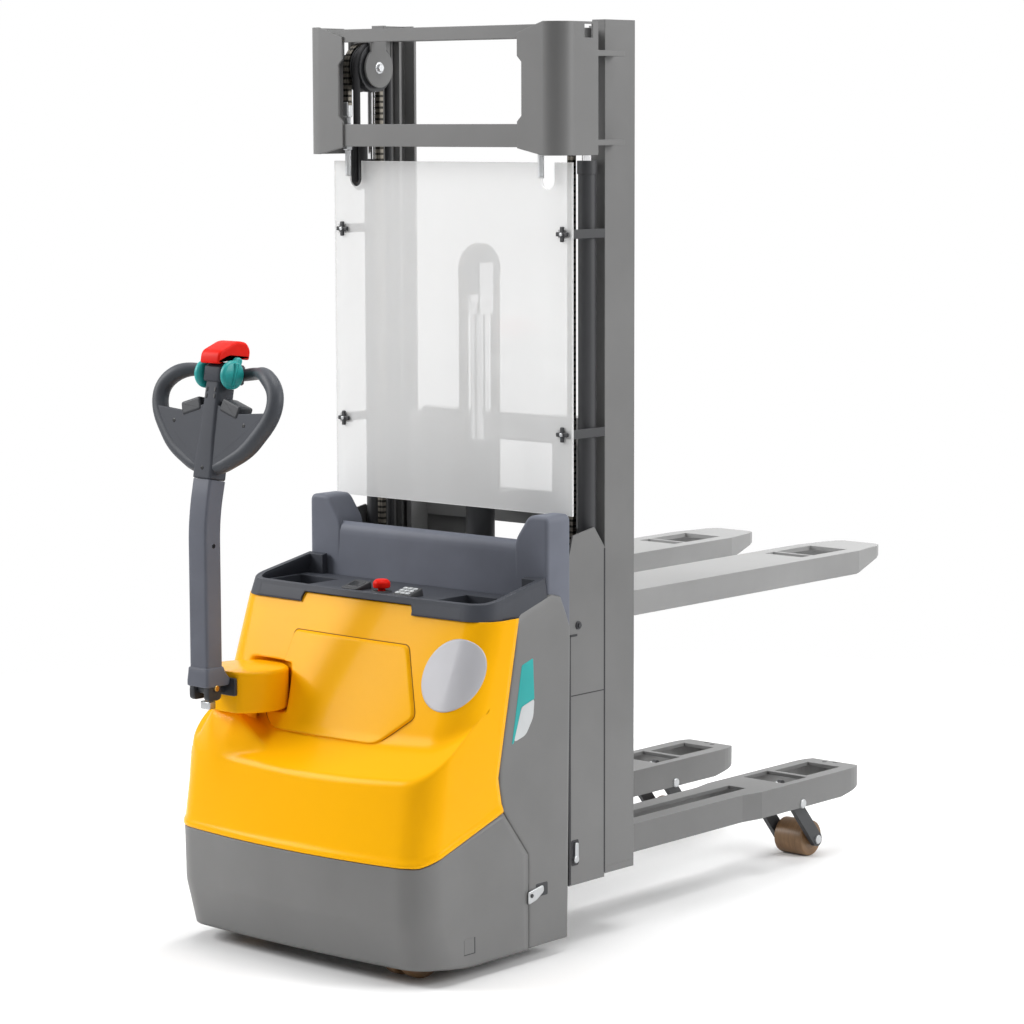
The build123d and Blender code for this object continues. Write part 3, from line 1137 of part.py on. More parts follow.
# Load section
def make_mast_foot():
    floor = block(span(FOOT_HALF), (FOOT_FRONT, outer_y[0]), FOOT_Z)
    floor += block(span(MAST_HALF), outer_y, FOOT_Z)
    front = block(span(FOOT_HALF), (FOOT_FRONT, FOOT_FRONT + FOOT_PLATE), (FOOT_Z[1], FOOT_FRONT_TOP))
    back = block(span(FOOT_BACK_HALF), (-FOOT_BACK_THICK, 0), (FOOT_Z[1], ARM_TOP))
    shoe = block(SHOE_X, (SHOE_FRONT, FOOT_FRONT), SHOE_Z)
    slot_x = (GUIDE_X[0] - FACE_GAP, GUIDE_X[1] + FACE_GAP)
    shoe -= block(slot_x, (SHOE_FRONT - CUT, GUIDE_REAR + FACE_GAP), (SHOE_Z[0] - CUT, SHOE_Z[1] + CUT))
    lug_z = (LIFT_ROD_Z[1], LIFT_ROD_Z[1] + LIFT_LUG_PLATE)
    lug = block(span(LIFT_LUG_HALF), (SHOE_FRONT, FOOT_FRONT), lug_z)
    foot = floor + front + back + shoe + mirrored(shoe) + lug
    hole = shaft_y(ARM_X, (-FOOT_BACK_THICK - CUT, CUT), PUSH_ROD_Z, PUSH_ROD_RADIUS + PUSH_HOLE_GAP)
    return foot - hole - mirrored(hole)


def make_arm():
    edge = [(ARM_NARROW_HALF, 0), (ARM_NARROW_HALF, ARM_STEP_Y[0]), (ARM_WIDE_HALF, ARM_STEP_Y[1])] + ARM_TIP
    arm = plate_z(arm_plan(edge), (ARM_BOTTOM, ARM_TOP))
    hollow = [(half - ARM_WALL, min(y, ARM_END_Y - ARM_CAVITY_END)) for half, y in edge]
    arm -= plate_z(arm_plan(hollow), (ARM_BOTTOM - CUT, ARM_TOP - ARM_WALL))
    top = ARM_TOP_FALL + [(ARM_END_Y + CUT, ARM_TOP + CUT), (ARM_TOP_FALL[0][0], ARM_TOP + CUT)]
    under = ARM_UNDER_RISE + [(ARM_END_Y + CUT, ARM_BOTTOM - CUT), (ARM_UNDER_RISE[0][0], ARM_BOTTOM - CUT)]
    wide_x = (ARM_X - ARM_WIDE_HALF, ARM_X + ARM_WIDE_HALF)
    arm = arm - plate_x(top, wide_x) - plate_x(under, wide_x)
    top_z = (ARM_TOP - ARM_WALL - CUT, ARM_TOP + CUT)
    arm = arm - block(ARM_SLOT_X, ARM_SLOT_Y, top_z) - block(LEVER_SLOT_X, LEVER_SLOT_Y, top_z)
    arm -= block(POCKET_X, POCKET_Y, (ARM_TOP - POCKET_DEPTH, ARM_TOP + CUT))
    back_x = (ARM_X - ARM_NARROW_HALF, ARM_X + ARM_NARROW_HALF)
    back_wall = block(back_x, (0, ARM_WALL), (ARM_BOTTOM, ARM_TOP))
    back_wall -= shaft_y(ARM_X, (-CUT, ARM_WALL + CUT), PUSH_ROD_Z, PUSH_ROD_RADIUS + PUSH_HOLE_GAP)
    return arm + back_wall + shaft_x(LINK_PIN_X, LINK_Y, LINK_Z, LINK_PIN_RADIUS)


def make_push_rods():
    return both(shaft_y(ARM_X, PUSH_ROD_Y, PUSH_ROD_Z, PUSH_ROD_RADIUS))


def make_link():
    pivot = (LINK_Y, LINK_Z)
    axle = (LOAD_AXLE_Y, LOAD_RADIUS)
    hub_x = (LINK_PLATE_X[0][0], LINK_PLATE_X[1][1])
    link = shaft_x(hub_x, LINK_Y, LINK_Z, LINK_HUB_RADIUS)
    for x in LINK_PLATE_X:
        link += bar_slot(pivot, axle, LINK_END_RADIUS, x)
    ear_end = (LINK_Y + EAR_REACH * cos(radians(EAR_ANGLE)), LINK_Z + EAR_REACH * sin(radians(EAR_ANGLE)))
    link += bar_slot(pivot, ear_end, EAR_RADIUS, (ARM_X - EAR_HALF, ARM_X + EAR_HALF))
    link += shaft_x(hub_x, LOAD_AXLE_Y, LOAD_RADIUS, LOAD_AXLE_RADIUS)
    return link - shaft_x((hub_x[0] - CUT, hub_x[1] + CUT), LINK_Y, LINK_Z, LINK_PIN_RADIUS + BORE_GAP)


def make_load_wheel():
    bore = LOAD_AXLE_RADIUS + BORE_GAP
    return wheel(LOAD_WHEEL_X, LOAD_AXLE_Y, LOAD_RADIUS, LOAD_RADIUS, LOAD_CORE_RADIUS, bore, LOAD_ROUND)


def make_mast_cover():
    cover_x = (MAST_HALF - COVER_THICK, MAST_HALF)
    front = COVER_OUTLINE[0][0]
    edge_z = (FOOT_Z[1], COVER_OUTLINE[-1][1])
    edge = block((MAST_HALF - COVER_RETURN, MAST_HALF), (front, front + COVER_THICK), edge_z)
    return plate_x(COVER_OUTLINE, cover_x) + edge


def make_upright_panel():
    top = [(PANEL_HALF, EAR_TOP - EAR_CHAMFER), (PANEL_HALF - EAR_CHAMFER, EAR_TOP)]
    top += [(EAR_TOP_INNER, EAR_TOP), (EAR_INNER, PANEL_Z[1])]
    left = [(-x, z) for x, z in reversed(top)]
    wall = plate_y([(PANEL_HALF, PANEL_Z[0])] + top + left + [(-PANEL_HALF, PANEL_Z[0])], PANEL_Y)
    ceiling = EAR_TOP - SKIN
    inside = [(EAR_INNER + SKIN, PANEL_Z[1]), (EAR_TOP_INNER + SKIN, ceiling)]
    inside += [(PANEL_HALF - EAR_CHAMFER - SKIN, ceiling), (PANEL_HALF - SKIN, ceiling - EAR_CHAMFER)]
    inside += [(PANEL_HALF - SKIN, EAR_BOTTOM)]
    ear = plate_y([(PANEL_HALF, EAR_BOTTOM)] + top + inside, (PANEL_Y[1], EAR_REAR))
    return wall + ear + mirrored(ear)


def make_head_guard():
    def bent(half, front, bend, rear):
        corner = block((GUARD_INNER, half), (front, rear), GUARD_Z)
        edge = corner.edges().filter_by(Axis.Z).sort_by(lambda item: item.center().X - item.center().Y)[-1]
        return fillet(edge, bend)

    side = bent(GUARD_HALF, GUARD_FRONT, GUARD_BEND, GUARD_REAR)
    inner_bend = GUARD_BEND - GUARD_THICK
    side -= bent(GUARD_HALF - GUARD_THICK, GUARD_FRONT + GUARD_THICK, inner_bend, GUARD_REAR + CUT)
    recess_x = GUARD_INNER + GUARD_RECESS
    low, high = GUARD_RECESS_Z
    recess = [(GUARD_INNER, low), (recess_x, low + GUARD_RECESS)]
    recess += [(recess_x, high - GUARD_RECESS), (GUARD_INNER, high)]
    side -= plate_y(recess, (GUARD_FRONT, GUARD_FRONT + GUARD_THICK))
    bend_x = GUARD_HALF - GUARD_BEND
    bottom, top = GUARD_Z
    slope = [(GUARD_INNER, top - GUARD_DROP), (bend_x, top), (GUARD_INNER, top)]
    side -= plate_y(slope, (GUARD_FRONT, GUARD_REAR))
    slope = [(GUARD_INNER, bottom), (bend_x, bottom), (GUARD_INNER, bottom + GUARD_LIFT)]
    side -= plate_y(slope, (GUARD_FRONT, GUARD_REAR))
    side -= block((GUARD_HALF - GUARD_BEND, GUARD_HALF), GUARD_WINDOW_Y, GUARD_WINDOW_Z)
    for z in GUARD_TAB_Z:
        side += block((MAST_HALF, GUARD_HALF), GUARD_TAB_Y, z)
    bar_y = (GUARD_FRONT + GUARD_THICK, GUARD_FRONT + GUARD_THICK + CROSSBAR_PLATE)
    lug_x = (ANCHOR_X - ANCHOR_LUG_HALF, ANCHOR_X + ANCHOR_LUG_HALF)
    lug = block(lug_x, (bar_y[1], ANCHOR_LUG_REAR), ANCHOR_LUG_Z)
    chain_y = SHEAVE_Y - LIFT_CHAIN_INNER - CHAIN_THICK / 2
    lug -= shaft_z(ANCHOR_X, chain_y, ANCHOR_LUG_Z, STUD_RADIUS)
    hose_lug = block(flipped(HOSE_PULLEY_X), (bar_y[1], ANCHOR_LUG_REAR), ANCHOR_LUG_Z)
    low_bar = block(span(CROSSBAR_HALF), bar_y, CROSSBAR_LOW_Z) + lug + mirrored(lug) + hose_lug
    high_bar = block(span(CROSSBAR_HALF), bar_y, CROSSBAR_HIGH_Z)
    return both(side) + [low_bar, high_bar]


def make_screen():
    sheet = block(span(SCREEN_HALF), SCREEN_Y, SCREEN_Z)
    notch_x = (ANCHOR_X - NOTCH_HALF, ANCHOR_X + NOTCH_HALF)
    notch = block(notch_x, SCREEN_Y, (NOTCH_BOTTOM + NOTCH_HALF, SCREEN_Z[1]))
    notch += shaft_y(ANCHOR_X, SCREEN_Y, NOTCH_BOTTOM + NOTCH_HALF, NOTCH_HALF)
    return sheet - notch - mirrored(notch)


def make_mast_fasteners():
    solids = []
    for z in SCREEN_BOLT_Z:
        bolt_y = (SCREEN_Y[0] - SCREEN_BOLT_HEAD, SCREEN_Y[0])
        solids += both(shaft_y(SCREEN_BOLT_X, bolt_y, z, SCREEN_BOLT_RADIUS))
    chain_y = SHEAVE_Y - LIFT_CHAIN_INNER - CHAIN_THICK / 2
    stud = shaft_z(ANCHOR_X, chain_y, STUD_Z, STUD_RADIUS) + shaft_z(ANCHOR_X, chain_y, NUT_Z, NUT_RADIUS)
    return solids + both(stud)


def make_battery():
    return block(span(BATTERY_HALF), BATTERY_Y, (FOOT_Z[1], BATTERY_TOP))


def make_lift_cylinders():
    tube = shaft_z(SIDE_X, SIDE_Y, (FOOT_Z[1], SIDE_TOP), SIDE_RADIUS)
    tube += shaft_z(SIDE_X, SIDE_Y, (SIDE_TOP, GLAND_TOP), GLAND_RADIUS)
    bore_z = (FOOT_Z[1] + FOOT_PLATE, GLAND_TOP + CUT)
    return both(tube - shaft_z(SIDE_X, SIDE_Y, bore_z, SIDE_ROD_RADIUS + BORE_GAP))


def make_lift_rods():
    return both(shaft_z(SIDE_X, SIDE_Y, (SIDE_ROD_BOTTOM, ROD_LUG_Z[0]), SIDE_ROD_RADIUS))


def make_initial_lift_rod():
    return shaft_z(0, LIFT_Y, LIFT_ROD_Z, LIFT_ROD_RADIUS)


# Parts by node name
fork_right = make_fork()
arm_right = make_arm()
link_right = make_link()
load_wheel_right = make_load_wheel()
panel_right = make_side_panel()
rail_right = make_outer_rail()
cover_right = make_mast_cover()
rocker_right = make_rocker()
parts = {
    "chassis_frame": make_chassis(),
    "front_apron": make_apron(),
    "front_hood": make_hood(),
    "hood_hatch": make_hatch(),
    "side_panel_left": mirrored(panel_right),
    "side_panel_right": panel_right,
    "console_deck": make_console(),
    "console_panels": make_console_panels(),
    "side_latches": make_latches(),
    "hydraulic_unit": make_hydraulic_unit(),
    "motor_controller": make_controller(),
    "initial_lift_barrel": make_lift_barrel(),
    "steering_chain": make_steering_chain(),
    "estop_button": make_estop(),
    "steering_head": make_steering_head(),
    "tiller_bracket": make_tiller_bracket(),
    "drive_motor": make_drive_motor(),
    "drive_gearbox": make_gearbox(),
    "drive_wheel": make_drive_wheel(),
    "tiller_column": make_column(),
    "tiller_head": make_head(),
    "tiller_grips": make_grips(),
    "belly_button": make_belly_button(),
    "travel_switch": make_travel_switch(),
    "rocker_left": head_place * mirrored(rocker_right),
    "rocker_right": head_place * rocker_right,
    "castor_fork": make_castor_fork(),
    "castor_wheels": make_castor_wheels(),
    "outer_rail_left": mirrored(rail_right),
    "outer_rail_right": rail_right,
    "mast_foot": make_mast_foot(),
    "support_arm_left": mirrored(arm_right),
    "support_arm_right": arm_right,
    "mast_cover_left": mirrored(cover_right),
    "mast_cover_right": cover_right,
    "upright_panel": make_upright_panel(),
    "head_guard": make_head_guard(),
    "screen": make_screen(),
    "mast_fasteners": make_mast_fasteners(),
    "battery_pack": make_battery(),
    "lift_cylinders": make_lift_cylinders(),
    "initial_lift_rod": make_initial_lift_rod(),
    "push_rods": make_push_rods(),
    "load_link_left": mirrored(link_right),
    "load_link_right": link_right,
    "load_wheel_left": [mirrored(solid) for solid in load_wheel_right],
    "load_wheel_right": load_wheel_right,
    "middle_mast": make_middle_mast(),
    "lift_rods": make_lift_rods(),
    "chain_sheaves": make_chain_sheaves(),
    "lift_chains": make_lift_chains(),
    "hoses": make_hoses(),
    "inner_mast": make_inner_mast(),
    "free_lift_cylinder": make_free_lift_cylinder(),
    "free_lift_rod": make_free_lift_rod(),
    "free_lift_sheave": make_free_lift_sheave(),
    "free_lift_chain": make_free_lift_chain(),
    "fork_carriage": make_carriage(),
    "fork_left": mirrored(fork_right),
    "fork_right": fork_right,
}

solids_of = {node: shape if isinstance(shape, list) else shape.solids() for node, shape in parts.items()}

# The part's origin is on the floor, under the middle of the box round everything
boxes = [solid.bounding_box() for solids in solids_of.values() for solid in solids]
middle_x = (min(box.min.X for box in boxes) + max(box.max.X for box in boxes)) / 2
middle_y = (min(box.min.Y for box in boxes) + max(box.max.Y for box in boxes)) / 2

os.makedirs("parts", exist_ok=True)
for node, solids in solids_of.items():
    placed = [Pos(-middle_x, -middle_y, 0) * solid for solid in solids]
    export_step(placed[0] if len(placed) == 1 else Compound(children=placed), f"parts/{node}.step")
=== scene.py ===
import logging
from dataclasses import dataclass, field
from enum import Enum
from typing import Any, Callable, Sequence, Union

import bmesh
import bpy
import numpy as np
from mathutils import Matrix, Vector


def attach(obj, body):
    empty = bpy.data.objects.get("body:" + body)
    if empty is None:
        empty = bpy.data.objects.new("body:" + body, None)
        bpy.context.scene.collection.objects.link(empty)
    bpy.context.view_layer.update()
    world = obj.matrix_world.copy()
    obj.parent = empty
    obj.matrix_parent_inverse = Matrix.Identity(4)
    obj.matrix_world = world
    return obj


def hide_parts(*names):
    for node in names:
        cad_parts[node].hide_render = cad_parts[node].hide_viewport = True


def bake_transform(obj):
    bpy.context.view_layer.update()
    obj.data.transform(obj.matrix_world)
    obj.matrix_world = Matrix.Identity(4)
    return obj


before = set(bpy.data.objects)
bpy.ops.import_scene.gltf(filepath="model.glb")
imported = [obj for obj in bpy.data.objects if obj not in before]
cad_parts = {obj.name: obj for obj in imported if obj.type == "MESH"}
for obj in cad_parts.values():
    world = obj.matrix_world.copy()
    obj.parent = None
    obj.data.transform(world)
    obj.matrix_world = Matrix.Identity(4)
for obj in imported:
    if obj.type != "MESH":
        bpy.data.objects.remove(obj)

LOG = logging.getLogger("double_stacker")
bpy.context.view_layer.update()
SHIFT = np.array((0.01464, -0.140, 0.0))  # from the drawing datum at the mast's rear face to the part's frame
MIRROR = np.array((-1.0, 1.0, 1.0))  # to the other side of the truck's centre plane

Point = tuple[float, float, float]
Rgb = Point
Pair = tuple[float, float]
Range = Sequence[float]
Line = Sequence[Sequence[float]]


# Shader maths
class Socket:
    """A shader output that takes part in Python expressions; each operator adds a Math node."""

    def __init__(self, graph: "Graph", link: Any) -> None:
        """Keeps the socket and the graph that it belongs to."""
        self.graph = graph
        self.link = link

    def _math(self, operation: str, first: Any, second: Any) -> "Socket":
        """Adds one Math node and returns its value."""
        return self.graph.node("ShaderNodeMath", {"operation": operation}, {0: first, 1: second})

    def __add__(self, other: Any) -> "Socket":
        """Sum."""
        return self._math("ADD", self, other)

    __radd__ = __add__

    def __sub__(self, other: Any) -> "Socket":
        """Difference."""
        return self._math("SUBTRACT", self, other)

    def __rsub__(self, other: Any) -> "Socket":
        """Difference with the plain number first."""
        return self._math("SUBTRACT", other, self)

    def __mul__(self, other: Any) -> "Socket":
        """Product."""
        return self._math("MULTIPLY", self, other)

    __rmul__ = __mul__

    def __gt__(self, other: Any) -> "Socket":
        """One where the value is above the other."""
        return self._math("GREATER_THAN", self, other)

    def larger(self, other: Any) -> "Socket":
        """The larger of two values."""
        return self._math("MAXIMUM", self, other)

    def swing(self, amount: float) -> "Socket":
        """How far the value is from one half, times an amount."""
        return (self - 0.5) * amount


def opaque(value: Any) -> Any:
    """Adds full alpha to a plain colour and leaves other values alone."""
    return (*value, 1.0) if isinstance(value, tuple) else value


class Graph:
    """The node tree of one material or of the world."""

    def __init__(self, owner: Any) -> None:
        """Empties the node tree of its owner.

        Args:
            owner: a material or a world.
        """
        self.owner = owner
        owner.use_nodes = True
        self.tree = owner.node_tree
        self.tree.nodes.clear()

    def node(self, kind: str, settings: dict[str, Any], inputs: dict[Any, Any], out: Any = 0) -> Socket:
        """Adds a node of any kind.

        Args:
            kind: Blender's type name of the node.
            settings: attributes of the node.
            inputs: socket name or number to a value or a Socket.
            out: name or number of the output to return.

        Returns:
            The chosen output, which is empty on a node that has none.
        """
        made = self.tree.nodes.new(kind)
        for key, value in settings.items():
            setattr(made, key, value)
        for key, value in inputs.items():
            if isinstance(value, Socket):
                self.tree.links.new(value.link, made.inputs[key])
            elif value is not None:
                made.inputs[key].default_value = value
        return Socket(self, made.outputs[out] if len(made.outputs) else None)

    def place(self) -> Socket:
        """Object coordinates, in metres in the part's frame."""
        return self.node("ShaderNodeTexCoord", {}, {}, "Object")

    def noise(self, scale: float, detail: float = 3.0, stretch: Point = (1.0, 1.0, 1.0)) -> Socket:
        """Noise value from 0 to 1.

        Args:
            scale: waves per metre.
            detail: octaves.
            stretch: factors on the three axes, above 1 for finer.

        Returns:
            The noise factor.
        """
        where = self.node("ShaderNodeMapping", {}, {"Vector": self.place(), "Scale": stretch})
        return self.node("ShaderNodeTexNoise", {}, {"Vector": where, "Scale": scale, "Detail": detail})

    def blend(self, mask: Any, first: Any, second: Any) -> Socket:
        """Mixes two colours, by a mask that is 0 for the first and 1 for the second."""
        sides = {6: opaque(first), 7: opaque(second), 0: mask}
        return self.node("ShaderNodeMix", {"data_type": "RGBA"}, sides, 2)

    def clamp(self, value: Socket, low: float = 0.3, high: float = 0.7, to: Pair = (0.0, 1.0)) -> Socket:
        """Rescales low..high to a new range and cuts off what lies outside."""
        return self.node("ShaderNodeMapRange", {}, {0: value, 1: low, 2: high, 3: to[0], 4: to[1]})

    def edge(self, radius: float) -> tuple[Socket, Socket]:
        """Softens edges, and finds them where the rounded normal turns away from the true one.

        Args:
            radius: radius of the edges in metres.

        Returns:
            The rounded normal, and a mask that is 1 on edges.
        """
        soft = self.node("ShaderNodeBevel", {"samples": 4}, {"Radius": radius})
        sharp = self.node("ShaderNodeNewGeometry", {}, {}, "Normal")
        along = self.node("ShaderNodeVectorMath", {"operation": "DOT_PRODUCT"}, {0: soft, 1: sharp}, "Value")
        return soft, self.clamp(1.0 - along, 0.01, 0.12)

    def bump(self, height: Socket, strength: float, distance: float, normal: Socket) -> Socket:
        """Bumps a normal.

        Args:
            height: height from 0 to 1.
            strength: share of the bump.
            distance: height in metres at 1.
            normal: normal to start from.

        Returns:
            The bumped normal.
        """
        inputs = {"Height": height, "Strength": strength, "Distance": distance, "Normal": normal}
        return self.node("ShaderNodeBump", {}, inputs)

    def surface(self, **sockets: Any) -> bpy.types.Material:
        """Ends a material in a Principled shader.

        Args:
            sockets: socket name with underscores to a value, a colour or a Socket.

        Returns:
            The finished material.
        """
        inputs = {key.replace("_", " "): opaque(value) for key, value in sockets.items()}
        shader = self.node("ShaderNodeBsdfPrincipled", {}, inputs)
        self.node("ShaderNodeOutputMaterial", {}, {"Surface": shader})
        return self.owner


# Finishes
@dataclass(frozen=True)
class Coating:
    """What every finish has: a name, a base colour and tints of it."""

    name: str
    colour: Rgb

    def tint(self, gain: float, lift: float = 0.0) -> Rgb:
        """The colour times a gain plus a lift, at most 1."""
        return tuple(min(1.0, gain * part + lift) for part in self.colour)

    def start(self, radius: float) -> tuple[Graph, Socket, Socket]:
        """Starts the material: its graph, and the normal and mask of edges softened by a radius."""
        graph = Graph(bpy.data.materials.new(self.name))
        return graph, *graph.edge(radius)


@dataclass(frozen=True)
class PowderCoat(Coating):
    """Satin powder coat with a fine orange-peel skin and edges rubbed slightly lighter."""

    roughness: float = 0.46
    edge_radius: float = 0.0025

    def build(self) -> bpy.types.Material:
        """Makes the material.

        Returns:
            The finished material.
        """
        graph, normal, rub = self.start(self.edge_radius)
        cloud, speck = graph.noise(5.0, 4.0), graph.noise(900.0, 2.0)
        base = graph.blend(graph.clamp(cloud), self.tint(0.90), self.tint(1.06))
        worn = rub * graph.clamp(graph.noise(60.0), 0.35, 0.7) * 0.6
        base = graph.blend(worn, base, self.tint(1.30, 0.015))
        rough = self.roughness + cloud.swing(0.10) + speck.swing(0.08)
        skin = graph.bump(speck, 0.10, 0.0004, normal)
        return graph.surface(Base_Color=base, Roughness=rough, Normal=skin, Specular_IOR_Level=0.45)


@dataclass(frozen=True)
class GlossPaint(Coating):
    """Gloss paint under a thin clear coat, with a long soft ripple and a fine peel."""

    deep: Rgb
    roughness: float = 0.24
    edge_radius: float = 0.004

    def build(self) -> bpy.types.Material:
        """Makes the material.

        Returns:
            The finished material.
        """
        graph, normal, rub = self.start(self.edge_radius)
        cloud, peel = graph.noise(3.0), graph.noise(260.0, 2.0)
        base = graph.blend(graph.clamp(cloud, 0.25, 0.75), self.deep, self.colour)
        return graph.surface(
            Base_Color=graph.blend(rub * 0.35, base, self.tint(1.08, 0.02)),
            Roughness=self.roughness + cloud.swing(0.08) + peel.swing(0.05),
            Normal=graph.bump(peel, 0.05, 0.0006, normal),
            Specular_IOR_Level=0.11,
            Specular_Tint=(1.0, 0.78, 0.30),
            Coat_Weight=0.03,
            Coat_Roughness=0.08,
        )


@dataclass(frozen=True)
class MouldedPlastic(Coating):
    """Moulded plastic with a spark-eroded grain."""

    roughness: float = 0.55
    grain: float = 1400.0
    depth: float = 0.0003
    edge_radius: float = 0.002
    specular: float = 0.3

    def build(self) -> bpy.types.Material:
        """Makes the material.

        Returns:
            The finished material.
        """
        graph, normal, rub = self.start(self.edge_radius)
        cloud, grain = graph.noise(7.0), graph.noise(self.grain, 1.5)
        base = graph.blend(graph.clamp(cloud), self.tint(0.88), self.tint(1.10))
        base = graph.blend(rub * 0.4, base, self.tint(1.35, 0.01))
        rough = self.roughness + grain.swing(0.16) + cloud.swing(0.06)
        skin = graph.bump(grain, 0.18, self.depth, normal)
        return graph.surface(Base_Color=base, Roughness=rough, Normal=skin, Specular_IOR_Level=self.specular)


@dataclass(frozen=True)
class BareMetal(Coating):
    """Bare or plated metal with drawn streaks; a chain also has dark gaps, one for each link length in Z."""

    roughness: float = 0.3
    streak: Point = (1.0, 1.0, 0.04)
    link: float = 0.0
    gap_colour: Rgb = (0.008, 0.008, 0.008)

    def build(self) -> bpy.types.Material:
        """Makes the material.

        Returns:
            The finished material.
        """
        graph, normal, rub = self.start(0.0012)
        lines, cloud = graph.noise(700.0, 3.0, self.streak), graph.noise(14.0)
        base = graph.blend(graph.clamp(lines * 0.5 + cloud * 0.5), self.tint(0.82), self.colour)
        base = graph.blend(rub * 0.3, base, self.tint(1.15))
        if self.link:
            along = graph.node("ShaderNodeSeparateXYZ", {}, {0: graph.place()}, "Z") * (2 * np.pi / self.link)
            gap = graph.node("ShaderNodeMath", {"operation": "SINE"}, {0: along}) > 0.35
            base = graph.blend(gap * 0.85, base, self.gap_colour)
        rough = self.roughness + lines.swing(0.12)
        skin = graph.bump(lines, 0.06, 0.0003, normal)
        return graph.surface(Base_Color=base, Roughness=rough, Metallic=1.0, Normal=skin)


@dataclass(frozen=True)
class Polyurethane(Coating):
    """Cast polyurethane tread with turning marks and rubbed patches."""

    roughness: float = 0.42

    def build(self) -> bpy.types.Material:
        """Makes the material.

        Returns:
            The finished material.
        """
        graph, normal, rub = self.start(0.002)
        marks = graph.noise(420.0, 2.0, (1.0, 0.05, 0.05))
        scuff = graph.clamp(graph.noise(38.0, 5.0), 0.52, 0.72)
        base = graph.blend(graph.clamp(marks), self.tint(0.72), self.colour)
        base = graph.blend(scuff * 0.35 + rub * 0.2, base, self.tint(1.4, 0.03))
        rough = self.roughness + scuff * 0.18 + marks.swing(0.1)
        return graph.surface(Base_Color=base, Roughness=rough, Normal=graph.bump(marks, 0.15, 0.0004, normal))


@dataclass(frozen=True)
class ClearSheet(Coating):
    """Clear plastic sheet with a faint haze that is a little stronger at its edges."""

    alpha: float
    roughness: float = 0.10

    def build(self) -> bpy.types.Material:
        """Makes the material.

        Returns:
            The finished material.
        """
        graph, _, rub = self.start(0.003)
        haze, wipe = graph.noise(2.2), graph.noise(30.0, 3.0, (1.0, 1.0, 0.1))
        alpha = self.alpha + haze.swing(0.05) + rub * 0.3
        rough = self.roughness + wipe.swing(0.06)
        return graph.surface(Base_Color=self.colour, Roughness=rough, Alpha=alpha, Specular_IOR_Level=0.6)


class Finish(Enum):
    """Every finish on the truck, by what it covers."""

    YELLOW = GlossPaint("yellow_gloss", (0.97, 0.465, 0.003), (0.93, 0.435, 0.003))
    GREY = PowderCoat("grey_powder_coat", (0.158, 0.158, 0.157))
    FORK_GREY = PowderCoat("fork_powder_coat", (0.275, 0.275, 0.274), 0.42)
    ANTHRACITE = MouldedPlastic("anthracite_plastic", (0.045, 0.049, 0.060), specular=0.25)
    COLUMN = MouldedPlastic("column_plastic", (0.108, 0.115, 0.140), specular=0.25)
    PANEL = MouldedPlastic("panel_plastic", (0.140, 0.151, 0.186))
    KEYBLACK = MouldedPlastic("key_plastic", (0.030, 0.032, 0.037), 0.45, 900.0, 0.0002)
    BRASS = BareMetal("brass_pin", (0.55, 0.36, 0.12), 0.3, (1.0, 1.0, 1.0))
    GRIP = MouldedPlastic("grip_rubber", (0.052, 0.057, 0.067), 0.5, 900.0, 0.0003)
    SILVER = PowderCoat("silver_film", (0.50, 0.50, 0.53), 0.40, 0.001)
    WINDOW = MouldedPlastic("display_window", (0.012, 0.013, 0.015), 0.16, 400.0, 0.0)
    RED = MouldedPlastic("red_plastic", (0.80, 0.012, 0.005), 0.42, 900.0, 0.0001, specular=0.1)
    TEAL = MouldedPlastic("teal_plastic", (0.022, 0.36, 0.35), 0.36, 900.0, 0.0001)
    KEYPAD = MouldedPlastic("keypad_film", (0.58, 0.60, 0.61), 0.4, 600.0, 0.0001)
    BATTERY = MouldedPlastic("battery_case", (0.03, 0.03, 0.033), 0.5)
    PLATED = BareMetal("zinc_plate", (0.50, 0.51, 0.52), 0.36)
    CHROME = BareMetal("polished_rod", (0.80, 0.80, 0.81), 0.10)
    IRON = PowderCoat("charcoal_paint", (0.030, 0.031, 0.034), 0.5, 0.0015)
    CHAIN = BareMetal("oiled_chain", (0.19, 0.175, 0.15), 0.38, (1.0, 1.0, 1.0), link=0.0127)
    # Shadowed yellow, painted as the shade in the seam round the hatch
    SEAM_SHADE = MouldedPlastic("seam_shadow", (0.26, 0.095, 0.002), 0.7)
    RUBBER = MouldedPlastic("hose_rubber", (0.016, 0.016, 0.018), 0.62, 500.0, 0.0004)
    TREAD = Polyurethane("brown_tread", (0.205, 0.112, 0.048))
    CLEAR = ClearSheet("clear_sheet", (0.95, 0.955, 0.955), 0.50)


NODE_FINISHES: dict[Finish, str] = {
    Finish.YELLOW: "front_hood hood_hatch steering_head",
    Finish.GREY: "front_apron side_panel_left side_panel_right chassis_frame outer_rail_left "
    "outer_rail_right mast_foot support_arm_left support_arm_right mast_cover_left mast_cover_right "
    "head_guard middle_mast inner_mast",
    Finish.FORK_GREY: "fork_carriage fork_left fork_right",
    Finish.ANTHRACITE: "console_deck upright_panel tiller_column tiller_head tiller_grips rocker_left "
    "rocker_right",
    Finish.RED: "belly_button estop_button",
    Finish.TEAL: "travel_switch",
    Finish.KEYPAD: "console_panels",
    Finish.PLATED: "side_latches mast_fasteners push_rods",
    Finish.CHROME: "lift_rods initial_lift_rod free_lift_rod",
    Finish.IRON: "tiller_bracket drive_motor drive_gearbox castor_fork load_link_left load_link_right "
    "lift_cylinders free_lift_cylinder chain_sheaves free_lift_sheave initial_lift_barrel hydraulic_unit",
    Finish.CHAIN: "lift_chains free_lift_chain steering_chain",
    Finish.RUBBER: "hoses",
    Finish.TREAD: "drive_wheel castor_wheels load_wheel_left load_wheel_right",
    Finish.CLEAR: "screen",
    Finish.BATTERY: "battery_pack motor_controller",
}


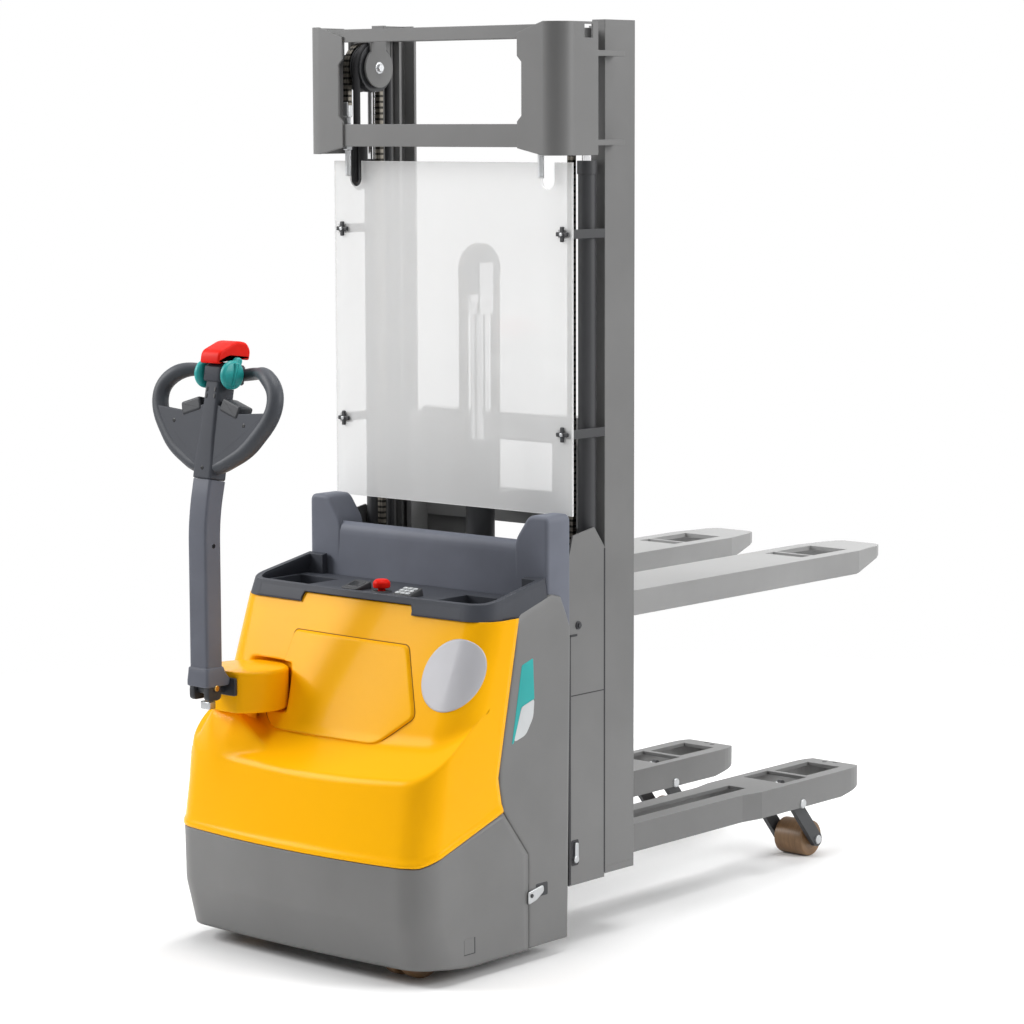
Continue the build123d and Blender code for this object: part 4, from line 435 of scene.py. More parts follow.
class Paintbox:
    """Builds each finish once and puts it on objects."""

    def __init__(self) -> None:
        """Starts with no material made."""
        self.made: dict[Finish, bpy.types.Material] = {}

    def coat(self, piece: bpy.types.Object, finish: Finish) -> None:
        """Gives a whole object one finish, whose material is made at its first use.

        Args:
            piece: the object.
            finish: its finish.
        """
        if finish not in self.made:
            self.made[finish] = finish.value.build()
        piece.data.materials.clear()
        piece.data.materials.append(self.made[finish])

    def coat_cad_nodes(self) -> None:
        """Gives every CAD node its finish."""
        for finish, names in NODE_FINISHES.items():
            for name in names.split():
                self.coat(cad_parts[name], finish)


PAINT = Paintbox()


# Shapes
@dataclass
class Shape:
    """Points with the quads and flat end faces between them, in drawing coordinates."""

    points: np.ndarray
    quads: np.ndarray
    caps: list[np.ndarray] = field(default_factory=list)

    def __add__(self, other: "Shape") -> "Shape":
        """Both shapes in one.

        Args:
            other: the second shape.

        Returns:
            A shape with the points and faces of both.
        """
        step = len(self.points)
        points = np.vstack((self.points, other.points))
        quads = np.vstack((self.quads, other.quads + step))
        return Shape(points, quads, self.caps + [cap + step for cap in other.caps])

    def __radd__(self, start: int) -> "Shape":
        """The shape itself, so that sum() joins shapes."""
        return self

    def moved(self, x: float = 0.0, y: float = 0.0, z: float = 0.0) -> "Shape":
        """The shape shifted."""
        return Shape(self.points + np.array((x, y, z)), self.quads, self.caps)

    def turned(self, axis: str, degrees: float) -> "Shape":
        """The shape turned about an axis through the origin."""
        spin = np.array(Matrix.Rotation(np.radians(degrees), 3, axis))
        return Shape(self.points @ spin.T, self.quads, self.caps)

    def mirrored(self) -> "Shape":
        """The shape on the other side of the centre plane, with its faces turned round."""
        return Shape(self.points * MIRROR, self.quads[:, ::-1], [cap[::-1] for cap in self.caps])

    def both(self) -> "Shape":
        """The shape and its mirror image."""
        return self + self.mirrored()


def even(count: int) -> np.ndarray:
    """Even steps from 0 to 1."""
    return np.linspace(0.0, 1.0, count)


def about(middle: float, reach: float) -> Pair:
    """The range that reaches as far to both sides of its middle."""
    return middle - reach, middle + reach


def smooth_step(value: np.ndarray, low: float, high: float) -> np.ndarray:
    """Rises from 0 at low to 1 at high as 3t^2 - 2t^3."""
    share = np.clip((value - low) / (high - low), 0.0, 1.0)
    return share * share * (3.0 - 2.0 * share)


def soft_max(first: np.ndarray, second: np.ndarray, reach: float) -> np.ndarray:
    """The larger of two heights, with their meeting line rounded over the given reach."""
    share = np.clip(0.5 + (first - second) / (2.0 * reach), 0.0, 1.0)
    return second + (first - second) * share + reach * share * (1.0 - share)


def headings(line: np.ndarray) -> np.ndarray:
    """Direction of an open line at each of its points, of length 1."""
    ahead = np.gradient(line, axis=0)
    return ahead / np.linalg.norm(ahead, axis=1, keepdims=True)


def grid(points: np.ndarray, ring: bool = False, caps: bool = False) -> Shape:
    """Quads over an array of points.

    Args:
        points: rows by columns by 3.
        ring: joins the last column to the first.
        caps: closes the first and the last row with a flat face.

    Returns:
        The surface.
    """
    rows, cols = points.shape[:2]
    index = np.arange(rows * cols).reshape(rows, cols)
    ends = [index[0, ::-1], index[-1]] if caps else []
    if ring:
        index = np.hstack((index, index[:, :1]))
    quads = np.stack((index[:-1, :-1], index[:-1, 1:], index[1:, 1:], index[1:, :-1]), -1).reshape(-1, 4)
    return Shape(points.reshape(-1, 3), quads, ends)


def tunnel(points: np.ndarray) -> Shape:
    """Rows of points, each a closed ring, with both ends closed."""
    return grid(points, ring=True, caps=True)


def bend(corners: Line, reach: Union[float, Range], steps: int = 7) -> np.ndarray:
    """An open line with its inner corners rounded.

    Each inner corner p becomes the curve (1-t)^2 a + 2t(1-t) p + t^2 b between the points a and b that lie
    one reach before and after it.

    Args:
        corners: points of the line, in any number of coordinates.
        reach: rounding at each inner corner, one value or one for each.
        steps: points on each rounding.

    Returns:
        The points of the rounded line.
    """
    line = np.array(corners, float)
    runs = np.diff(line, axis=0)
    lengths = np.linalg.norm(runs, axis=1, keepdims=True)
    room = np.broadcast_to(np.array(reach, float).reshape(-1, 1), (len(line) - 2, 1))
    inner = line[1:-1]
    before = inner - runs[:-1] * np.minimum(room / lengths[:-1], 0.49)
    after = inner + runs[1:] * np.minimum(room / lengths[1:], 0.49)
    t = even(steps)[None, :, None]
    curves = (1 - t) ** 2 * before[:, None] + 2 * t * (1 - t) * inner[:, None] + t * t * after[:, None]
    return np.vstack((line[:1], curves.reshape(-1, line.shape[1]), line[-1:]))


def outline(corners: Line, reach: Union[float, Range], steps: int = 6) -> np.ndarray:
    """A closed line with all its corners rounded, as bend does it.

    Args:
        corners: points of the line, the last of which joins the first.
        reach: rounding at each corner, one value or one for each.
        steps: points on each rounding.

    Returns:
        The points of the rounded line.
    """
    line = np.array(corners, float)
    room = np.broadcast_to(np.array(reach, float), len(line))
    return bend(np.vstack((line[-1:], line, line[:1])), room, steps)[1:-1]


def box_line(x: Range, y: Range, reach: float, steps: int = 6) -> np.ndarray:
    """A rectangle with rounded corners, from two ranges."""
    return outline([(x[0], y[0]), (x[1], y[0]), (x[1], y[1]), (x[0], y[1])], reach, steps)


def plate(loop: np.ndarray, span: Range, axis: str, rim: float, steps: int = 5) -> Shape:
    """A closed line carried along an axis, with both its ends rounded over.

    At angle a of the rim the line lies rim (1 - sin a) inside its outline, at rim (1 - cos a) from the end.

    Args:
        loop: the line's points in the plane across the axis, in the order of the remaining axes.
        span: both ends along the axis.
        axis: "X", "Y" or "Z".
        rim: radius of the rounded ends.
        steps: rows on each rounding.

    Returns:
        The closed shape.
    """
    ahead = np.roll(loop, -1, 0) - np.roll(loop, 1, 0)
    ahead /= np.linalg.norm(ahead, axis=1, keepdims=True)
    inward = np.stack((-ahead[:, 1], ahead[:, 0]), 1)
    area = np.sum(loop[:, 0] * np.roll(loop[:, 1], -1) - loop[:, 1] * np.roll(loop[:, 0], -1))
    inward = inward * np.sign(area)
    angle = np.linspace(0.0, np.pi / 2, steps)
    # The first row lies inside the flat end, so that the end is shaded flat
    inset = np.concatenate(([1.3 * rim], rim * (1 - np.sin(angle))))
    height = np.concatenate(([0.0], rim * (1 - np.cos(angle))))
    insets = np.concatenate((inset, inset[::-1]))
    heights = np.concatenate((span[0] + height, span[1] - height[::-1]))
    flat = loop[None] + inward[None] * insets[:, None, None]
    level = np.broadcast_to(heights[:, None, None], (*flat.shape[:2], 1))
    place = "XYZ".index(axis)
    return tunnel(np.concatenate((flat[..., :place], level, flat[..., place:]), -1))


def slab(x: Range, y: Range, z: Range, corner: float, rim: float, axis: str = "Z") -> Shape:
    """A block with rounded corners across the axis and rounded ends along it.

    Args:
        x: range in X.
        y: range in Y.
        z: range in Z.
        corner: rounding of the corners.
        rim: radius of the rounded ends.
        axis: "X", "Y" or "Z".

    Returns:
        The closed shape.
    """
    spans = {"X": x, "Y": y, "Z": z}
    across = [spans[key] for key in "XYZ" if key != axis]
    return plate(box_line(*across, corner, 5), spans[axis], axis, rim, 4)


def lathe(profile: Line, centre: Point, axis: str, steps: int = 40) -> Shape:
    """A profile of (radius, distance) points turned about an axis, closed by flat ends.

    Args:
        profile: radius and distance along the axis.
        centre: point of the axis that the distances start from.
        axis: "X", "Y" or "Z".
        steps: points on the circle; 6 makes a hexagon.

    Returns:
        The closed shape.
    """
    line = np.array(profile, float)
    angle = np.arange(steps) * 2 * np.pi / steps
    around = line[:, :1] * np.cos(angle), line[:, :1] * np.sin(angle)
    along = np.broadcast_to(line[:, 1:], around[0].shape)
    order = {"X": (along, *around), "Y": (around[1], along, around[0]), "Z": (*around, along)}
    return tunnel(np.stack(order[axis], -1) + np.array(centre))


def tube(path: np.ndarray, normal: Point, size: Union[float, np.ndarray], sides: int) -> Shape:
    """A round profile carried along a flat path, closed at both ends.

    Args:
        path: points of the path.
        normal: direction square to the plane of the path.
        size: radius, one value or one for each point.
        sides: points on the circle.

    Returns:
        The closed shape.
    """
    up = np.array(normal, float)
    side = np.cross(up, headings(path))
    angle = np.arange(sides) * 2 * np.pi / sides
    radius = np.broadcast_to(np.array(size, float).reshape(-1, 1, 1), (len(path), 1, 1))
    ring = np.cos(angle)[None, :, None] * side[:, None] + np.sin(angle)[None, :, None] * up
    return tunnel(path[:, None] + radius * ring)


def strip(path: np.ndarray, x: Range, thick: float) -> Shape:
    """A flat band carried along a path in a Y-Z plane, with half its thickness on each side of the path.

    Args:
        path: Y and Z of the path's points.
        x: the band's range in X.
        thick: thickness across the path.

    Returns:
        The closed shape.
    """
    ahead = headings(path)
    out = np.stack((-ahead[:, 1], ahead[:, 0]), 1) * thick / 2
    sides = np.stack((path - out, path - out, path + out, path + out), 1)
    across = np.broadcast_to(np.array((x[0], x[1], x[1], x[0]))[None, :, None], (len(path), 4, 1))
    return tunnel(np.concatenate((across, sides), -1))


def loft(sections: Line) -> Shape:
    """Rounded rectangles joined one above the other.

    Args:
        sections: half width, front Y, rear Y, corner rounding and height of each rectangle.

    Returns:
        The closed shape.
    """
    rows = []
    for half, front, rear, corner, z in sections:
        line = box_line((-half, half), (front, rear), corner)
        rows.append(np.column_stack((line, np.full(len(line), z))))
    return tunnel(np.array(rows))


def hexagon(radius: float, span: Range, centre: Point, axis: str) -> Shape:
    """A hexagonal bolt head or nut with chamfered corners: a profile turned in six steps.

    Args:
        radius: distance of the corners from the axis.
        span: both ends along the axis.
        centre: point of the axis that the span is measured from.
        axis: "X", "Y" or "Z".

    Returns:
        The closed shape.
    """
    low, high = span
    lip = 0.12 * radius * np.sign(high - low)
    line = [(0.9 * radius, low), (radius, low + lip), (radius, high - lip), (0.9 * radius, high)]
    return lathe(line, centre, axis, 6)


def button(radius: float, span: Range, rim: float, centre: Point, axis: str, steps: int = 24) -> Shape:
    """A round disc whose outer end is rounded over by a quarter circle.

    Args:
        radius: radius of the disc.
        span: its inner and its outer end along the axis.
        rim: radius of the rounding.
        centre: point of the axis that the span is measured from.
        axis: "X", "Y" or "Z".
        steps: points on the circle.

    Returns:
        The closed shape.
    """
    low, high = span
    way = np.sign(high - low)
    angle = np.linspace(0.0, np.pi / 2, 5)
    edge = np.column_stack((radius - rim + rim * np.cos(angle), high - way * rim + way * rim * np.sin(angle)))
    return lathe(np.vstack(((radius, low), edge, (0.6 * (radius - rim), high))), centre, axis, steps)


@dataclass
class Bench:
    """Turns shapes into finished pieces on their CAD bodies and logs each one."""

    sharp_angle: float = 34.0  # degrees
    merge: float = 1e-6  # metres

    def mesh(self, name: str, shape: Shape, inside: Union[Point, None]) -> bpy.types.Mesh:
        """Puts a shape into a mesh whose faces point outwards.

        Args:
            name: the mesh's name.
            shape: points and faces in drawing coordinates.
            inside: for an open sheet, a point on its hollow side.

        Returns:
            The mesh, smooth apart from its sharp edges.
        """
        mesh = bpy.data.meshes.new(name)
        faces = shape.quads.tolist() + [cap.tolist() for cap in shape.caps]
        mesh.from_pydata((shape.points + SHIFT).tolist(), [], faces)
        work = bmesh.new()
        work.from_mesh(mesh)
        bmesh.ops.remove_doubles(work, verts=work.verts, dist=self.merge)
        bmesh.ops.dissolve_degenerate(work, edges=work.edges, dist=self.merge)
        bmesh.ops.recalc_face_normals(work, faces=work.faces)
        work.to_mesh(mesh)
        if inside is not None:
            count = len(mesh.polygons)
            centres, normals, areas = np.empty(count * 3), np.empty(count * 3), np.empty(count)
            for what, values in (("center", centres), ("normal", normals), ("area", areas)):
                mesh.polygons.foreach_get(what, values)
            away = (centres.reshape(-1, 3) - SHIFT - np.array(inside)) * normals.reshape(-1, 3)
            if np.sum(away.sum(1) * areas) < 0:
                bmesh.ops.reverse_faces(work, faces=work.faces)
                work.to_mesh(mesh)
        work.free()
        mesh.shade_smooth()
        mesh.set_sharp_from_angle(angle=np.radians(self.sharp_angle))
        return mesh

    def make(
        self,
        name: str,
        shape: Shape,
        finish: Finish,
        body: Union[str, tuple[str, str]],
        stands_for: Sequence[str] = (),
        wall: float = 0.0,
        inside: Union[Point, None] = None,
    ) -> None:
        """Makes one finished piece.

        Args:
            name: the piece's name.
            shape: its points and faces.
            finish: its material.
            body: the CAD body it rides on, or the two bodies that a strand stretches between.
            stands_for: CAD nodes that it replaces.
            wall: thickness of an open sheet, added on its hollow side.
            inside: a point on the hollow side of an open sheet.
        """
        piece = bpy.data.objects.new(name, self.mesh(name, shape, inside))
        bpy.context.scene.collection.objects.link(piece)
        PAINT.coat(piece, finish)
        if wall:
            skin = piece.modifiers.new("wall", "SOLIDIFY")
            skin.thickness = wall
            skin.offset = -1.0
        if isinstance(body, str):
            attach(piece, body)
        else:
            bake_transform(piece)
        if stands_for:
            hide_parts(*stands_for)
        LOG.info("%s: %d faces on %s", name, len(piece.data.polygons), body)


BENCH = Bench()


# Drive section
Section = tuple[float, float, float, float]  # height, with the outline's front Y, bow and corner radius there
DRIVE = "drive_section"


@dataclass
class PlanLine:
    """Columns of a cover outline that runs from its right rear end round the front to the left rear end."""

    side: int = 14
    corner: int = 16
    front: int = 64

    @staticmethod
    def arcs(half: Any, front: Any, bow: Any, corner: Any) -> tuple[Any, Any, Any, Any]:
        """Arcs of the outline's right half.

        The side is straight at X = half. The front is an arc of radius
        R = ((half - corner)^2 + bow^2) / (2 bow) about (0, front + R). The corner is an arc touching both.

        Args:
            half: half width; like the other arguments an array that fits rows by columns.
            front: Y of the front on the centre plane.
            bow: how far the front stands proud of its corners.
            corner: corner radius.

        Returns:
            X of the corner's centre, R, Y of the corner's centre, and the angle where the corner ends.
        """
        reach = half - corner
        big = (reach**2 + bow**2) / (2 * bow)
        centre = front + big - np.sqrt((big - corner) ** 2 - reach**2)
        return reach, big, centre, np.arctan2(front + big - centre, reach)

    def half_line(self, sizes: Sequence[Any], rear: Any, early: int = 0) -> tuple[np.ndarray, np.ndarray]:
        """Right half of the outline.

        Args:
            sizes: half width, front, bow and corner radius, as arcs takes them.
            rear: Y of the rear end.
            early: columns of the side that already lie on the corner.

        Returns:
            X and Y of the points, rows by columns.
        """
        front, corner = sizes[1], sizes[3]
        reach, big, centre, last = self.arcs(*sizes)
        side, turn, run = self.shares(early)
        sweep = last + (np.pi / 2 - last) * run
        x = np.where(run > 0, big * np.cos(sweep), reach + corner * np.cos(last * turn))
        y = rear + (centre - rear) * side - corner * np.sin(last * turn)
        return x, np.where(run > 0, front + big - big * np.sin(sweep), y)

    def shares(self, early: int = 0) -> tuple[np.ndarray, np.ndarray, np.ndarray]:
        """How far each column is along the three parts of the outline.

        Args:
            early: columns of the side that already lie on the corner.

        Returns:
            Shares from 0 to 1 of the side, the corner and the front.
        """
        counts = (self.side - early, self.corner + early, self.front)
        side, turn, run = (np.arange(1, count + 1) / count for count in counts)
        along_side = np.concatenate(([0.0], side, np.ones(sum(counts[1:]))))
        along_corner = np.concatenate((np.zeros(counts[0] + 1), turn, np.ones(self.front)))
        return along_side, along_corner, np.concatenate((np.zeros(counts[0] + counts[1] + 1), run))

    @staticmethod
    def whole(half: np.ndarray) -> np.ndarray:
        """Adds the left half, mirrored, to rows by columns of points."""
        return np.concatenate((half, half[:, -2::-1] * MIRROR), 1)


def sheet_rows(corners: np.ndarray, reach: Range, runs: Sequence[np.ndarray], steps: int = 8) -> np.ndarray:
    """Rows of a sheet drawn between corner lines, with the inner corners softened.

    Args:
        corners: corner lines by columns by 3.
        reach: rounding at each inner corner line.
        runs: where the rows lie on each straight run, from 0 to 1.
        steps: rows on each rounding.

    Returns:
        Rows by columns by 3.
    """
    ahead = np.diff(corners, axis=0)
    lengths = np.maximum(np.linalg.norm(ahead, axis=2, keepdims=True), 1e-5)
    rows, start = [], corners[0]
    t = even(steps)[1:-1, None, None]
    for number, share in enumerate(runs):
        last = number == len(reach)
        before = after = corner = corners[number + 1]
        if not last:
            before = corner - ahead[number] * np.minimum(reach[number] / lengths[number], 0.45)
            after = corner + ahead[number + 1] * np.minimum(reach[number] / lengths[number + 1], 0.45)
        rows.append(start + (before - start) * share[:, None, None])
        if not last:
            rows.append((1 - t) ** 2 * before + 2 * t * (1 - t) * corner + t * t * after)
        start = after
    return np.vstack(rows)


@dataclass
class Covers:
    """Yellow hood with its hatch, grey apron and side panels, and the small things on them."""

    half: float = 0.360
    wall: float = 0.004
    gap: float = 0.002
    middle: Point = (0.0, -0.4, 0.4)  # a point on the hollow side of every cover
    rounds: int = 12  # steps in which heights and outlines that depend on each other settle
    plan: PlanLine = field(default_factory=PlanLine)
    # Sections of apron and hood, from the floor up
    foot: Section = (0.028, -0.703, 0.008, 0.080)
    brow: Section = (0.135, -0.744, 0.020, 0.078)
    hood_foot: Section = (0.255, -0.748, 0.022, 0.076)
    crease: Section = (0.412, -0.711, 0.014, 0.078)
    shelf: Section = (0.475, -0.622, 0.010, 0.080)
    edge: Section = (0.752, -0.512, 0.008, 0.060)
    low_edge: float = 0.733
    tab: Pair = (0.158, 0.166)  # X between which the hood's upper edge steps down
    joint_rise: Pair = (-0.700, 0.333)  # Y where the joint starts to rise, and its slope
    toe: Point = (0.009, 0.56, 0.66)  # rise of the apron's lower edge, and the range of -Y for it
    hood_round: Pair = (0.012, 0.024)  # at crease and shelf
    apron_round: Pair = (0.010, 0.001)  # at the break and the knee of the seam
    bead: Point = (0.003, 0.007, 0.0075)  # height, middle above the hood's foot, half width
    bead_rows: Range = (0.0, 0.008, 0.018, 0.034, 0.05, 0.07, 0.09)
    seam_z: Range = (0.232, 0.334, 0.407, 0.732)
    seam_y: Range = (-0.383, -0.463, -0.477, -0.410)
    # Pocket of the steering head and the horn under it
    steer: Pair = (-0.209, -0.637)
    pocket: Point = (0.095, 0.510, 0.607)  # radius, lower and upper end
    pocket_soft: float = 0.004
    horn: tuple[float, float, float, float] = (-0.243, -0.660, 0.038, 0.507)  # X, Y, radius and height
    horn_slopes: Point = (1.35, 0.75, 2.8)  # outwards, inwards and to the front
    horn_reach: Pair = (0.345, 0.408)  # heights between which the lift grows to its full amount
    horn_soft: Point = (0.008, 0.006, 0.012)  # at the side, the front and the foot
    # Hatch
    hatch_line: Sequence[Pair] = (
        (-0.157, 0.676), (-0.180, 0.497), (-0.145, 0.472), (0.152, 0.473), (0.235, 0.536), (0.172, 0.674),
    )
    hatch_x: Pair = (-0.192, 0.246)
    hatch_z: Pair = (0.464, 0.684)
    hatch_rise: float = 0.007
    hatch_sink: float = 0.0025
    hatch_soft: float = 0.0045
    hatch_edge: float = 0.0055
    # Ends of the dark line painted as the shade in the hatch's seam
    hatch_seam_shade: Sequence[Pair] = ((-0.166, 0.611), (-0.180, 0.504))
    hatch_seam_round: Range = (0.010, 0.012, 0.014, 0.014, 0.014, 0.010)
    face_round: Point = (0.0035, 0.470, 0.496)  # how far the foot stands out, and between which heights
    # Side panels
    panel_low: float = 0.029
    panel_rear: Line = ((0.029, 0.700, 0.771), (-0.252, -0.242, -0.265))  # heights, and Y there
    panel_top: Line = ((-0.408, -0.398, -0.292, -0.262), (0.729, 0.741, 0.770, 0.762))  # Y, and heights there
    panel_rim: float = 0.006
    panel_rounds: int = 8
    panel_lean: Point = (0.011, 0.650, 0.785)  # how far inwards, and between which heights
    pocket_y: Pair = (-0.585, -0.551)
    pocket_z: Pair = (0.055, 0.089)
    hook_line: Sequence[Pair] = (
        (-0.386, 0.125), (-0.386, 0.152), (-0.338, 0.160), (-0.336, 0.146), (-0.360, 0.131),
    )
    white_line: Sequence[Pair] = (
        (-0.362, 0.560), (-0.402, 0.548), (-0.428, 0.476), (-0.390, 0.486), (-0.366, 0.520),
    )
    teal_line: Sequence[Pair] = (
        (-0.366, 0.645), (-0.402, 0.634), (-0.434, 0.472), (-0.428, 0.474), (-0.404, 0.546), (-0.362, 0.558),
    )
    # Silver disc: radius, height, lift off the hood and shift from the end of the corner
    badge: Section = (0.0725, 0.626, 0.0012, -0.004)

    @staticmethod
    def between(z: Any, sections: Sequence[Section]) -> list[Any]:
        """Front Y, bow and corner radius of the plan outline at a height, evenly between sections."""
        table = np.array(sections)
        return [np.interp(z, table[:, 0], table[:, column]) for column in (1, 2, 3)]

    def settle(self, z: float, height: Callable, sections: Sequence[Section], early: int = 0) -> np.ndarray:
        """A line round the right half of the covers, found by repeated steps.

        Args:
            z: height to start from.
            height: function of X and Y that gives the line's height.
            sections: cover sections between which the plan outline changes evenly.
            early: columns of the side that already lie on the corner.

        Returns:
            Columns by 3.
        """
        level = np.full(len(self.plan.shares()[0]), z)
        for _ in range(self.rounds):
            rear = np.interp(level, self.seam_z, self.seam_y)
            x, y = self.plan.half_line((self.half, *self.between(level, sections)), rear, early)
            level = height(x, y)
        return np.stack((x, y, level), -1)

    def flat_line(self, z: float, sections: Sequence[Section]) -> np.ndarray:
        """A level line round the right half of the covers."""
        return self.settle(z, lambda x, y: np.full(x.shape, z), sections)

    def to_seam(self, rows: np.ndarray) -> np.ndarray:
        """Moves the side of a sheet so that its rear end follows the bent seam to the side panel.

        Args:
            rows: rows by columns by 3, which are changed.

        Returns:
            The same rows.
        """
        miss = np.interp(rows[:, :1, 2], self.seam_z, self.seam_y) - rows[:, :1, 1]
        rows[..., 1] += miss * (1 - self.plan.shares()[0])
        return rows

    def joint(self, x: np.ndarray, y: np.ndarray) -> np.ndarray:
        """Height of the joint between apron and hood."""
        start, slope = self.joint_rise
        return self.hood_foot[0] + slope * np.maximum(y - start, 0.0)

    def ledge(self, x: np.ndarray, y: np.ndarray) -> np.ndarray:
        """Height of the sloping ledge that runs back from the crease."""
        slope = (self.shelf[0] - self.crease[0]) / (self.shelf[1] - self.crease[1])
        return self.crease[0] + slope * (y - self.crease[1])

    def top(self, x: np.ndarray, y: np.ndarray) -> np.ndarray:
        """Height of the hood's upper edge, raised in the middle."""
        return np.interp(np.abs(x), self.tab, (self.edge[0], self.low_edge))

    def hollow(self, points: np.ndarray) -> np.ndarray:
        """Sinks the pocket of the steering head into the hood: a cylinder with softened edges.

        Args:
            points: the hood's points, X, Y and Z in the last place.

        Returns:
            The points, moved back to the cylinder's wall between its two ends.
        """
        radius, low, high = self.pocket
        soft = self.pocket_soft
        x, y, z = np.moveaxis(points, -1, 0)
        across = x - self.steer[0]
        back = np.where(np.abs(across) < radius, np.sqrt(np.maximum(radius**2 - across**2, 0.0)), -0.2)
        share = smooth_step(z, *about(low, soft)) * (1 - smooth_step(z, *about(high, soft)))
        sunk = soft_max(self.steer[1] + back, y, soft)
        return np.stack((x, y + share * (sunk - y), z), -1)

    def pedestal(self, points: np.ndarray) -> np.ndarray:
        """Raises the horn under the steering head.

        z becomes max(z, top - s max(d - r, 0) - f max(y0 - r/3 - y, 0)), softened. d is the distance from the
        horn's axis (x0, y0), r the radius of its top, s and f the side and front slopes (s is less inwards).
        Only the ledge is lifted: the change fades out down the wall below it.

        Args:
            points: the hood's points, X, Y and Z in the last place.

        Returns:
            The raised points.
        """
        centre_x, centre_y, radius, top = self.horn
        side, middle, front = self.horn_slopes
        side_soft, front_soft, top_soft = self.horn_soft
        x, y, z = np.moveaxis(points, -1, 0)
        away = np.hypot(x - centre_x, y - centre_y)
        slope = side + (middle - side) * smooth_step(x, centre_x - radius, centre_x + radius)
        drop = slope * soft_max(away - radius, np.zeros_like(away), side_soft)
        drop = drop + front * soft_max(centre_y - radius / 3 - y, np.zeros_like(y), front_soft)
        share = smooth_step(z, *self.horn_reach)
        return np.stack((x, y, z + share * (soft_max(z, top - drop, top_soft) - z)), -1)

    def hood(self) -> None:
        """Hood: straight runs between four lines (foot, crease, shelf, top edge), with a bead at the foot."""
        lower, upper = (self.hood_foot, self.crease), (self.shelf, self.edge)
        columns = self.plan.side + 1
        foot = self.settle(self.hood_foot[0], self.joint, lower)
        crease = self.settle(self.crease[0], self.ledge, lower)
        shelf = self.settle(self.shelf[0], self.ledge, upper)
        early = int(np.sum(crease[:columns, 1] < shelf[self.plan.side, 1]))
        shelf = self.settle(self.shelf[0], self.ledge, upper, early)
        shelf[: columns - early] = crease[: columns - early]
        edge = self.settle(self.low_edge, self.top, upper, early)
        low_run = np.concatenate((self.bead_rows, np.linspace(0.12, 1.0, 22)))
        lines = np.stack((foot, crease, shelf, edge))
        rows = sheet_rows(lines, self.hood_round, (low_run, even(30), even(110)))
        ahead = headings(foot[:, :2])
        out = np.stack((-ahead[:, 1], ahead[:, 0], np.zeros(len(foot))), 1)
        out *= np.sign(np.sum(out * (foot - np.array(self.middle)), 1, keepdims=True))
        height, middle, reach = self.bead
        above = rows[..., 2] - foot[None, :, 2]
        swell = height * np.sqrt(np.clip(1.0 - ((above - middle) / reach) ** 2, 0.0, 1.0))
        rows = self.to_seam(rows) + out[None] * swell[..., None]
        shell = grid(self.hollow(self.pedestal(self.plan.whole(rows))))
        BENCH.make("hood_shell", shell, Finish.YELLOW, DRIVE, ("front_hood",), self.wall, self.middle)

    def apron(self) -> None:
        """Apron: straight runs between four lines (foot, break, knee of the seam, joint), its plugs, and
        shade painted along two edges of each pocket.
        """
        sections = (self.foot, self.brow, self.hood_foot)
        rise, near, far = self.toe
        low = self.foot[0]
        lines = (
            self.settle(low, lambda x, y: low + rise * smooth_step(-y, near, far), sections),
            self.flat_line(self.brow[0], sections),
            self.flat_line(self.seam_z[0], sections),
            self.settle(self.hood_foot[0], lambda x, y: self.joint(x, y) - self.gap, sections),
        )
        rows = sheet_rows(np.stack(lines), self.apron_round, (even(14), even(12), even(10)), 10)
        shell = grid(self.plan.whole(self.to_seam(rows)))
        BENCH.make("apron_shell", shell, Finish.GREY, DRIVE, ("front_apron",), self.wall, self.middle)
        y, z = self.pocket_y, self.pocket_z
        plug = slab((self.half - 0.004, self.half + 0.0006), y, z, 0.005, 0.0005, "X")
        BENCH.make("apron_pockets", plug.both(), Finish.GREY, DRIVE)
        # Thin dark strips painted as the shade along the rear and lower edge of each pocket
        x = (self.half - 0.003, self.half + 0.0009)
        edges = slab(x, (y[1] - 0.003, y[1]), z, 0.001, 0.0003, "X")
        edges = edges + slab(x, y, (z[0], z[0] + 0.002), 0.0008, 0.0003, "X")
        BENCH.make("pocket_edge_shade", edges.both(), Finish.IRON, DRIVE)

    def hatch(self) -> None:
        """Hatch: the hood's front raised by rise * step(d), d the distance inside its line, and a dark line
        painted as the shade in its seam.
        """
        x, z = np.meshgrid(np.linspace(*self.hatch_x, 230), np.linspace(*self.hatch_z, 130))
        line, soft = np.array(self.hatch_line), self.hatch_soft
        ahead = np.roll(line, -1, 0) - line
        ahead /= np.linalg.norm(ahead, axis=1, keepdims=True)
        inside = (x[..., None] - line[:, 0]) * -ahead[:, 1] + (z[..., None] - line[:, 1]) * ahead[:, 0]
        depth = -soft * np.log(np.sum(np.exp(-inside / soft), -1)) + 0.001
        step = np.sqrt(smooth_step(depth, 0.0, self.hatch_edge))
        rise = (self.hatch_rise + self.hatch_sink) * step - self.hatch_sink
        points = self.hollow(np.stack((x, self.hood_face(x, z) - rise, z), -1)) + np.array((0.0, 0.0006, 0.0))
        BENCH.make("hatch_panel", grid(points), Finish.YELLOW, DRIVE, ("hood_hatch",), 0.003, self.middle)
        # Dark line along the hatch's outline, painted as the shade in the seam round it
        start, end = self.hatch_seam_shade
        seam = bend(np.vstack((start, line[:1], line[:0:-1], end)), self.hatch_seam_round, 6)
        parts = [a + (b - a) * even(8)[:-1, None] for a, b in zip(seam[:-1], seam[1:])]
        seam = np.vstack(parts + [seam[-1:]])
        path = np.column_stack((seam[:, 0], self.hood_face(seam[:, 0], seam[:, 1]) + 0.0002, seam[:, 1]))
        BENCH.make("hatch_seam_shade", tube(path, (0.0, 1.0, 0.0), 0.0013, 6), Finish.SEAM_SHADE, DRIVE)

